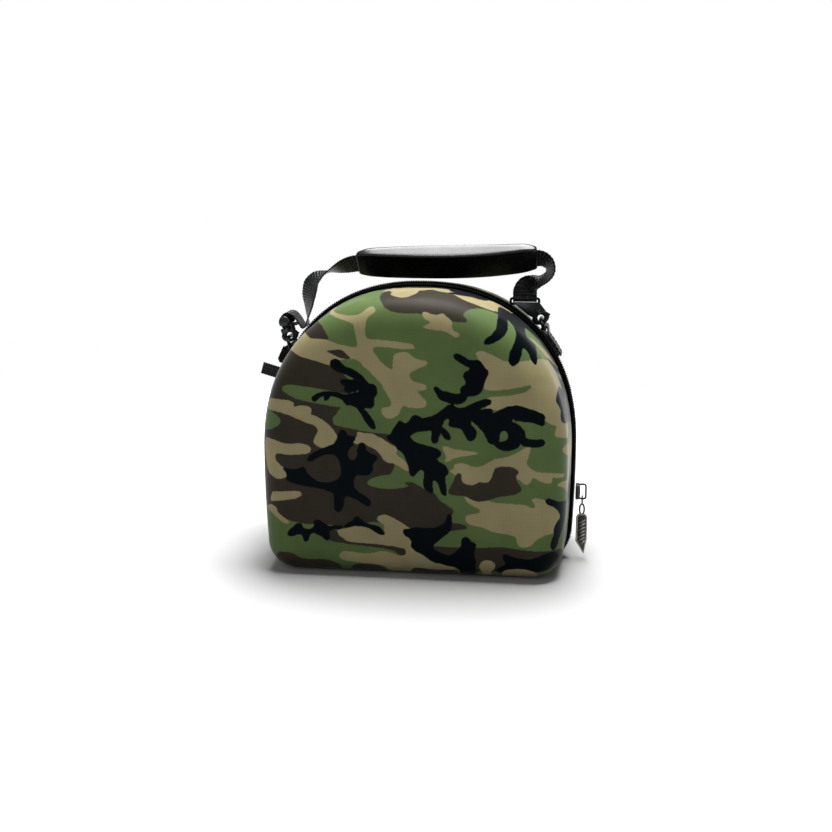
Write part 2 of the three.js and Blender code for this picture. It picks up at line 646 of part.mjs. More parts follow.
function slider() {
  const body = new THREE.Shape();
  body.moveTo(-3.2, -6.5);
  body.lineTo(3.2, -6.5);
  body.quadraticCurveTo(4, 0, 4.6, 6);
  body.quadraticCurveTo(0, 8.2, -4.6, 6);
  body.quadraticCurveTo(-4, 0, -3.2, -6.5);
  const bail = roundedRect(BAIL.width, BAIL.height, 2.6);
  bail.holes.push(new THREE.Path(
    roundedRect(BAIL.width - 2 * BAIL_WIRE, BAIL.height - 2 * BAIL_WIRE, 1.2).getPoints(3),
  ));
  const bridge = roundedRect(3, 8, 0.6);
  return fuse([
    plate(body, 3, inZipPlane(SLIDER_X + 1.5, SLIDER_Z), Y_AXIS, Z_AXIS, 4),
    plate(bridge, 1.2, inZipPlane(SLIDER_X + 3.2, SLIDER_Z), Y_AXIS, Z_AXIS, 2),
    plate(bail, BAIL_WIRE, inZipPlane(PULL_X, SLIDER_Z), X_AXIS, Z_AXIS, 3),
  ]);
}

add('zip_slider', slider(), 'metal');

// Zip pull: eye round the bail's lower wire, pierced neck and a long tag with a slanted tip
function pull() {
  const wireZ = SLIDER_Z - BAIL.height / 2 + BAIL_WIRE / 2;
  const eyeZ = wireZ - 0.7;
  const eye = new THREE.Shape();
  eye.absarc(0, 0, 3.7, 0, 2 * Math.PI);
  const hole = new THREE.Path();
  hole.absarc(0, 0, 2.1, 0, 2 * Math.PI);
  eye.holes.push(hole);
  const tag = new THREE.Shape([
    [-2.6, -3], [-2.9, -12.5], [-4.8, -15.5], [-4.8, -37], [2.4, -48], [4.8, -34.5], [4.8, -15.5],
    [2.9, -12.5], [2.6, -3],
  ].map(([x, z]) => new THREE.Vector2(x, z)));
  const slot = new THREE.Path();
  slot.absellipse(0, -9.3, 1.4, 2.4, 0, 2 * Math.PI);
  tag.holes.push(slot);
  return fuse([
    plate(eye, 1.4, inZipPlane(PULL_X, eyeZ), Y_AXIS, Z_AXIS, 6),
    plate(tag, 2.2, inZipPlane(PULL_X, eyeZ), X_AXIS, Z_AXIS, 5),
  ]);
}

add('zip_pull', pull(), 'pull');

export default model;
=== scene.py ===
# %% [markdown]
# A hard-shell cap carrier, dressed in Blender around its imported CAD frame.
# The frame gives every piece its place, in metres, with the zip plane at y = 0 and the floor at
# z = 0. The frame's own box is kept first, so that the finished look can be measured against it.

# %% Load the frame
import math
import bpy
import numpy as np
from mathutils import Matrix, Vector


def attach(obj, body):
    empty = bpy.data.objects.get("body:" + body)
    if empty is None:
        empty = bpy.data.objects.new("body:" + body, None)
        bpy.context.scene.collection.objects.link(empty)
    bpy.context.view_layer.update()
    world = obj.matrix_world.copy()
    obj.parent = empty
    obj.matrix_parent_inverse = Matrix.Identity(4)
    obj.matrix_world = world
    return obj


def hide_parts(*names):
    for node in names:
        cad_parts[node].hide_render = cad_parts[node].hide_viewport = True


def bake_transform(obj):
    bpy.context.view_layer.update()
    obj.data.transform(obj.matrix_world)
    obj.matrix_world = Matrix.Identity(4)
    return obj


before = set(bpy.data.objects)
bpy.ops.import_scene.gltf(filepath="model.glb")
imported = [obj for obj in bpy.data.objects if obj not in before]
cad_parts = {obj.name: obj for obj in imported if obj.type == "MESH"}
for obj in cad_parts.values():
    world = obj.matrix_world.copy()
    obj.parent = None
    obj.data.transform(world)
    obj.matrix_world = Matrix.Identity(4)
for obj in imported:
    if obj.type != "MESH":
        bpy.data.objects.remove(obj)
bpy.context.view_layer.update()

# %% [markdown]
# The camera stands a little to the right of the case and above it, about a metre away.
# Its distance and lens were worked out together, because a near camera widens the face that
# is closest to it. The small shift only puts the case where the picture has it.

# %% Camera
MM = 0.001
IMAGE_PX = 832
CAMERA = {"azimuth": 7.9, "elevation": 11.6, "distance": 1100, "focal_px": 1289.2, "target_z": 120}
CENTRE_PX = (422.9, 416.5)
SENSOR_MM = 36

azimuth, elevation = (math.radians(CAMERA[k]) for k in ("azimuth", "elevation"))
backwards = Vector((
    math.sin(azimuth) * math.cos(elevation),
    -math.cos(azimuth) * math.cos(elevation),
    math.sin(elevation),
))
camera = bpy.data.objects.new("camera", bpy.data.cameras.new("camera"))
bpy.context.scene.collection.objects.link(camera)
camera.location = (Vector((0, 0, CAMERA["target_z"])) + CAMERA["distance"] * backwards) * MM
camera.rotation_euler = (-backwards).to_track_quat("-Z", "Y").to_euler()
camera.data.sensor_width = SENSOR_MM
camera.data.lens = CAMERA["focal_px"] / IMAGE_PX * SENSOR_MM
camera.data.shift_x = (IMAGE_PX / 2 - CENTRE_PX[0]) / IMAGE_PX
camera.data.shift_y = (CENTRE_PX[1] - IMAGE_PX / 2) / IMAGE_PX
bpy.context.scene.camera = camera
print("lens", round(camera.data.lens, 2), "mm")

# %% [markdown]
# Two helpers carry all the finishes. One turns the hex colours that people know from screens
# into the linear light that a renderer adds up. The other adds one shader node with its
# settings and links, so that each finish below reads as a short list of what it is made of.

# %% Colour and node helpers
def linear(hex_colour):
    parts = [int(hex_colour[i:i + 2], 16) / 255 for i in (1, 3, 5)]
    return [c / 12.92 if c <= 0.04045 else ((c + 0.055) / 1.055) ** 2.4 for c in parts] + [1]


def add(tree, kind, inputs=(), **settings):
    """One shader node; each input is a constant or another node's output."""
    made = tree.nodes.new("ShaderNode" + kind)
    for key, value in settings.items():
        setattr(made, key, value)
    for key, value in dict(inputs).items():
        if isinstance(value, bpy.types.NodeSocket):
            tree.links.new(value, made.inputs[key])
        else:
            made.inputs[key].default_value = value
    return made


def finish(name, colour, roughness, **sockets):
    """A new material with its surface shader; the colour is a hex value."""
    material = bpy.data.materials.new(name)
    material.use_nodes = True
    shader = material.node_tree.nodes["Principled BSDF"]
    shader.inputs["Base Color"].default_value = linear(colour)
    shader.inputs["Roughness"].default_value = roughness
    for key, value in sockets.items():
        shader.inputs[key.replace("_", " ")].default_value = value
    return material, material.node_tree, shader


def plug(tree, shader, socket, output):
    tree.links.new(output, shader.inputs[socket])


print("middle grey in linear light:", round(linear("#808080")[0], 3))

# %% [markdown]
# The shells wear a woodland print on fine knitted polyester, bonded to moulded foam. The print is
# flat ink, so its edges are sharp and its colours are matt. The distance from each blotch's edge
# is stored on the mesh in millimetres, and the shader only asks on which side of the edge it is.
# That keeps edges crisp at any zoom. A small wobble stands for ink that follows the threads.
# Real threads are about 0.4 mm apart, too fine to show, so the weave is drawn at 1.1 mm.

# %% Printed polyester cloth
PRINT = [  # laid one over the other
    ("brown", "#2c2821"), ("tan", "#817959"), ("green", "#4b5c36"), ("brown_over", "#2c2821"),
    ("black", "#01060a"),
]
GROUND_GREEN = "#4b5c36"
EDGE_MM, WOBBLE_MM, WEAVE_MM, THREAD_DEPTH_MM = 0.35, 0.7, 1.1, 0.12
RAGGED_PER_MM, FADE_PER_MM = 0.3, 0.035  # ragged edges about 3 mm long, faded patches about 30 mm
WAVES_PER_UNIT = 20 / (2 * math.pi)  # of a wave texture with a scale of 1


def crossing_threads(tree, place, along_mm, across_mm):
    """Height of a weave with its spacings in millimetres, highest where two ridges cross."""
    along, across = (
        add(
            tree, "TexWave", {"Vector": place, "Scale": 1 / WAVES_PER_UNIT / period},
            bands_direction=direction, wave_profile="SIN",
        ).outputs["Fac"]
        for period, direction in ((along_mm, "X"), (across_mm, "Y"))
    )
    return add(tree, "Math", {0: along, 1: across}, operation="MULTIPLY").outputs[0]


# The cloth is nearly matt, so its colours stay full; the sheen lifts it where it turns away.
printed_cloth, tree, shader = finish(
    "printed polyester cloth", GROUND_GREEN, 0.42,
    Sheen_Weight=0.1, Sheen_Roughness=0.3, Specular_IOR_Level=0.03,
)
cloth_mm = add(tree, "Attribute", attribute_name="cloth_mm").outputs["Vector"]
ragged = add(tree, "TexNoise", {"Vector": cloth_mm, "Scale": RAGGED_PER_MM, "Detail": 3}).outputs["Fac"]
wobble = add(tree, "MapRange", {"Value": ragged, "To Min": -WOBBLE_MM, "To Max": WOBBLE_MM}).outputs["Result"]
colour = linear(GROUND_GREEN)
for layer, ink in PRINT:
    distance = add(tree, "Attribute", attribute_name=layer).outputs["Fac"]
    shaken = add(tree, "Math", {0: distance, 1: wobble}, operation="ADD").outputs[0]
    step = {"Value": shaken, "From Min": EDGE_MM, "From Max": -EDGE_MM}
    inside = add(tree, "MapRange", step).outputs["Result"]
    colour = add(tree, "Mix", {0: inside, 6: colour, 7: linear(ink)}, data_type="RGBA").outputs[2]
threads = crossing_threads(tree, cloth_mm, WEAVE_MM, WEAVE_MM)
faded = add(tree, "TexNoise", {"Vector": cloth_mm, "Scale": FADE_PER_MM, "Detail": 4}).outputs["Fac"]
faded = add(
    tree, "MapRange", {"Value": faded, "From Min": 0.3, "From Max": 0.7, "To Min": 0.9, "To Max": 1.08},
).outputs["Result"]
# painted shade between the threads and painted light on their crossings, over the ink
painted_weave_shade = add(tree, "MapRange", {"Value": threads, "To Min": 0.88, "To Max": 1.12}).outputs["Result"]
shade = add(tree, "Math", {0: faded, 1: painted_weave_shade}, operation="MULTIPLY").outputs[0]
colour = add(tree, "VectorMath", {0: colour, "Scale": shade}, operation="SCALE").outputs["Vector"]
plug(tree, shader, "Base Color", colour)
plug(tree, shader, "Normal", add(
    tree, "Bump", {"Height": threads, "Strength": 0.35, "Distance": THREAD_DEPTH_MM * MM},
).outputs["Normal"])
print("inks:", [name for name, _ in PRINT])

# %% [markdown]
# The black soft goods are woven too. The lining is a brushed knit, the zip tape a tight
# herringbone, and the webbing a thick polypropylene weave with ribs across it that catch the
# light. Each has its own millimetre coordinates, along and across the piece.

# %% Lining, zip tape and webbing
RIB_MM, RIB_LINE_MM = 2.1, 2.5
GLINT_PATCH_PER_MM = 0.15  # patches about 7 mm long, where the painted ridge highlight is stronger


def woven(name, dark, light, roughness, specular, along_mm, across_mm, depth_mm):
    """The light colour is a painted highlight on the ridges, stronger in some patches than in others."""
    material, tree, shader = finish(name, dark, roughness, Specular_IOR_Level=specular)
    place = add(tree, "Attribute", attribute_name="cloth_mm").outputs["Vector"]
    raised = crossing_threads(tree, place, along_mm, across_mm)
    # patches where the painted ridge highlight is stronger
    worn = add(tree, "TexNoise", {"Vector": place, "Scale": GLINT_PATCH_PER_MM, "Detail": 3}).outputs["Fac"]
    lit = add(tree, "Math", {0: raised, 1: worn}, operation="MULTIPLY").outputs[0]
    tone = add(tree, "Mix", {0: lit, 6: linear(dark), 7: linear(light)}, data_type="RGBA").outputs[2]
    plug(tree, shader, "Base Color", tone)
    plug(tree, shader, "Normal", add(
        tree, "Bump", {"Height": raised, "Strength": 0.8, "Distance": depth_mm * MM},
    ).outputs["Normal"])
    return material


# dull charcoal, so that the inside of the open case keeps some depth
lining_knit = woven(
    "brushed polyester lining", "#232527", "#45484b", roughness=0.9, specular=0.1,
    along_mm=1.6, across_mm=1.6, depth_mm=0.15,
)
# the deepest black, a dark line round the case
zip_tape = woven(
    "woven polyester zip tape", "#020203", "#08090a", roughness=0.7, specular=0.02,
    along_mm=1.2, across_mm=1.2, depth_mm=0.15,
)
# black with ribs that glint along their tops
webbing = woven(
    "polypropylene webbing", "#020304", "#22262a", roughness=0.36, specular=0.24,
    along_mm=RIB_MM, across_mm=RIB_LINE_MM, depth_mm=0.5,
)
print("woven:", [material.name for material in (lining_knit, zip_tape, webbing)])

# %% [markdown]
# The grip is moulded PVC with a polished skin, which mirrors the lamps in long soft bands.
# Handling leaves it a little uneven, so its roughness varies. The hooks and rings are zinc
# castings in black nickel, and the pull an older, browner gunmetal whose raised edges have worn
# bright. The teeth are moulded acetal, and the sewing thread is bonded polyester.

# %% Moulded plastic, metal and thread
CLOUD_PER_M, GRIT_PER_M = 90, 900  # cloudy patches 11 mm across, grit 1.1 mm
EDGE_FROM, EDGE_TO = 0.51, 0.6  # pointiness, which is 0.5 on a flat face


def cast(name, colour, wear_and_glint_colour, roughness, metallic=0, bump_mm=0.05, **sockets):
    """Roughness is a range. Edges that stand out show the second colour: wear on the gunmetal, a painted
    highlight on the black finishes.
    """
    material, tree, shader = finish(name, colour, roughness[0], Metallic=metallic, **sockets)
    place = add(tree, "TexCoord").outputs["Object"]
    cloudy = add(tree, "TexNoise", {"Vector": place, "Scale": CLOUD_PER_M, "Detail": 3}).outputs["Fac"]
    grit = add(tree, "TexNoise", {"Vector": place, "Scale": GRIT_PER_M, "Detail": 2}).outputs["Fac"]
    pointed = add(tree, "NewGeometry").outputs["Pointiness"]
    pointed = {"Value": pointed, "From Min": EDGE_FROM, "From Max": EDGE_TO}
    edge = add(tree, "MapRange", pointed).outputs["Result"]
    # edges that stand out: real wear on the gunmetal, a painted edge highlight on the black finishes
    rubbed = add(tree, "Math", {0: edge, 1: cloudy}, operation="MULTIPLY").outputs[0]
    tones = {0: rubbed, 6: linear(colour), 7: linear(wear_and_glint_colour)}
    plug(tree, shader, "Base Color", add(tree, "Mix", tones, data_type="RGBA").outputs[2])
    rough = {"Value": cloudy, "To Min": roughness[0], "To Max": roughness[1]}
    plug(tree, shader, "Roughness", add(tree, "MapRange", rough).outputs["Result"])
    plug(tree, shader, "Normal", add(
        tree, "Bump", {"Height": grit, "Strength": 0.25, "Distance": bump_mm * MM},
    ).outputs["Normal"])
    return material


# black, with one long soft mirror of the lamp
grip_pvc = cast("polished PVC", "#050607", "#101214", (0.2, 0.34), bump_mm=0.012, Specular_IOR_Level=0.31)
# black and almost dull, so that the rows of teeth read as one band
tooth_acetal = cast("moulded acetal", "#030405", "#17191b", (0.4, 0.55), Specular_IOR_Level=0.05)
# dark metal with small bright glints on its edges
black_nickel = cast(
    "black nickel on zinc", "#08090a", "#6a6c6f", (0.22, 0.42), metallic=0.7, Specular_IOR_Level=0.35,
)
# the pull's brownish grey, and the brighter metal of its ribs and border
gunmetal = cast("worn gunmetal", "#2a2928", "#8d8a84", (0.25, 0.45), metallic=0.95, bump_mm=0.08)
bright_gunmetal = cast("rubbed gunmetal", "#a5a29c", "#f0ede6", (0.2, 0.4), metallic=0.95, bump_mm=0.08)
# a shade above the webbing, so that seams can just be seen
thread = cast("bonded polyester thread", "#101113", "#2a2c2e", (0.5, 0.7))
hard = (grip_pvc, tooth_acetal, black_nickel, gunmetal, bright_gunmetal, thread)
print("cast:", [material.name for material in hard])

# %% [markdown]
# Every piece is built from the same few ideas: a row of sections is skinned into a closed mesh,
# like slats over the ribs of a boat. Sizes are in millimetres until the mesh is made.
# Each mesh also carries its own flat coordinates, so that a weave follows the piece.

# %% Mesh helpers
def make_piece(name, points, faces, materials, body, slot, node=None, places=None, indices=None):
    mesh = bpy.data.meshes.new(name)
    mesh.from_pydata((np.asarray(points) * MM).tolist(), [], [tuple(map(int, f)) for f in faces])
    mesh.update()
    piece = bpy.data.objects.new(name, mesh)
    bpy.context.scene.collection.objects.link(piece)
    for material in materials:
        mesh.materials.append(material)
    mesh.polygons.foreach_set("use_smooth", [True] * len(mesh.polygons))
    if indices is not None:
        mesh.polygons.foreach_set("material_index", indices)
    if places is not None:
        put = mesh.attributes.new("cloth_mm", "FLOAT_VECTOR", "POINT")
        put.data.foreach_set("vector", np.asarray(places, dtype=np.float32).ravel())
    if body:
        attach(piece, body)
    if node:
        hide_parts(*([node] if isinstance(node, str) else node))
    return piece


def skin(rows, columns, closed_rows=False, caps=True, first=0):
    """Faces of a grid of closed sections, with a fan at each end."""
    faces = []
    for i in range(rows if closed_rows else rows - 1):
        here, there = first + i * columns, first + (i + 1) % rows * columns
        for k in range(columns):
            l = (k + 1) % columns
            faces.append((here + k, here + l, there + l, there + k))
    if caps and not closed_rows:
        last = first + (rows - 1) * columns
        faces.append(tuple(first + k for k in reversed(range(columns))))
        faces.append(tuple(last + k for k in range(columns)))
    return faces


def unit(v):
    v = np.asarray(v, dtype=float)
    return v / np.linalg.norm(v, axis=-1, keepdims=True)


X_AXIS, Y_AXIS, Z_AXIS = np.eye(3)


def in_zip_plane(x, z, y=0.0):
    parts = [np.asarray(part, float) for part in (x, y, z)]
    return np.stack(np.broadcast_arrays(*parts), axis=-1)


def run_length(points):
    steps = np.linalg.norm(np.diff(points, axis=0), axis=1)
    return np.concatenate([[0], np.cumsum(steps)])


def directions(path, closed=False):
    if closed:
        return unit(np.roll(path, -1, axis=0) - np.roll(path, 1, axis=0))
    return unit(np.gradient(path, axis=0))


def arc(turns, radius=1.0):
    return radius * np.stack([np.cos(turns), np.sin(turns)], axis=1)


def circle(count, radius=1.0):
    return arc(2 * math.pi * np.arange(count) / count, radius)


def together(parts):
    """Several meshes as one."""
    points, faces, first = [], [], 0
    for part_points, part_faces in parts:
        points.append(part_points)
        faces += [tuple(first + k for k in f) for f in part_faces]
        first += len(part_points)
    return np.concatenate(points), faces


print("a capped tube of 4 rings with 6 points has", len(skin(4, 6)), "faces")

# %% [markdown]
# The case is an arch on a flat base. Its sides lean in a little towards the floor and its lower
# corners are round. One outline in the zip plane serves the shells, the zip and the cloth hinge,
# so they meet without fitting. It is worked out finely, and then laid out again in even steps.

# %% Case outline
HALF_WIDTH, RIM_TOP, SPRING_HEIGHT, ARCH_POWER = 127, 232, 98.5, 2.25
CORNER_RADIUS, SIDE_TAPER = 27, 4
OUTLINE_STATIONS = 440


def side_x(z):
    return HALF_WIDTH - SIDE_TAPER * ((SPRING_HEIGHT - z) / SPRING_HEIGHT) ** 2


def arch(angle):
    """Point and normal of the arch, by its parameter angle, on the right."""
    rise = RIM_TOP - SPRING_HEIGHT
    x = HALF_WIDTH * np.cos(angle) ** (2 / ARCH_POWER)
    z = rise * np.sin(angle) ** (2 / ARCH_POWER)
    slope = (x ** (ARCH_POWER - 1) / HALF_WIDTH ** ARCH_POWER, z ** (ARCH_POWER - 1) / rise ** ARCH_POWER)
    return np.array((x, SPRING_HEIGHT + z)), unit(slope)


def even_outline(count):
    lean, corner_top = 0.0, CORNER_RADIUS
    for _ in range(6):
        lean = math.atan(2 * SIDE_TAPER * (SPRING_HEIGHT - corner_top) / SPRING_HEIGHT ** 2)
        corner_top = CORNER_RADIUS * (1 - math.sin(lean))
    corner_x = side_x(corner_top) - CORNER_RADIUS * math.cos(lean)
    turns = np.linspace(-math.pi / 2, -lean, 60)
    corner = CORNER_RADIUS * np.stack([np.cos(turns), 1 + np.sin(turns)], axis=1) + (corner_x, 0)
    heights = np.linspace(corner_top, SPRING_HEIGHT, 60)[1:-1]
    sides = np.stack([side_x(heights), heights], axis=1)
    over = np.array([arch(a)[0] for a in np.linspace(0, math.pi / 2 - 1e-6, 400)])
    right = np.concatenate([[[0, 0]], corner, sides, over, [[0, RIM_TOP]]])
    left = right[-2:0:-1] * (-1, 1)
    loop = np.concatenate([right, left, right[:1]])
    length = run_length(loop)
    wanted = np.linspace(0, length[-1], count, endpoint=False)
    points = np.stack([np.interp(wanted, length, loop[:, i]) for i in (0, 1)], axis=1)
    runs = unit(np.roll(points, -1, axis=0) - np.roll(points, 1, axis=0))
    return points, np.stack([runs[:, 1], -runs[:, 0]], axis=1), wanted


outline, outward, outline_mm = even_outline(OUTLINE_STATIONS)
station_step = outline_mm[1]
print("outline", len(outline), "stations,", round(float(station_step), 2), "mm apart")
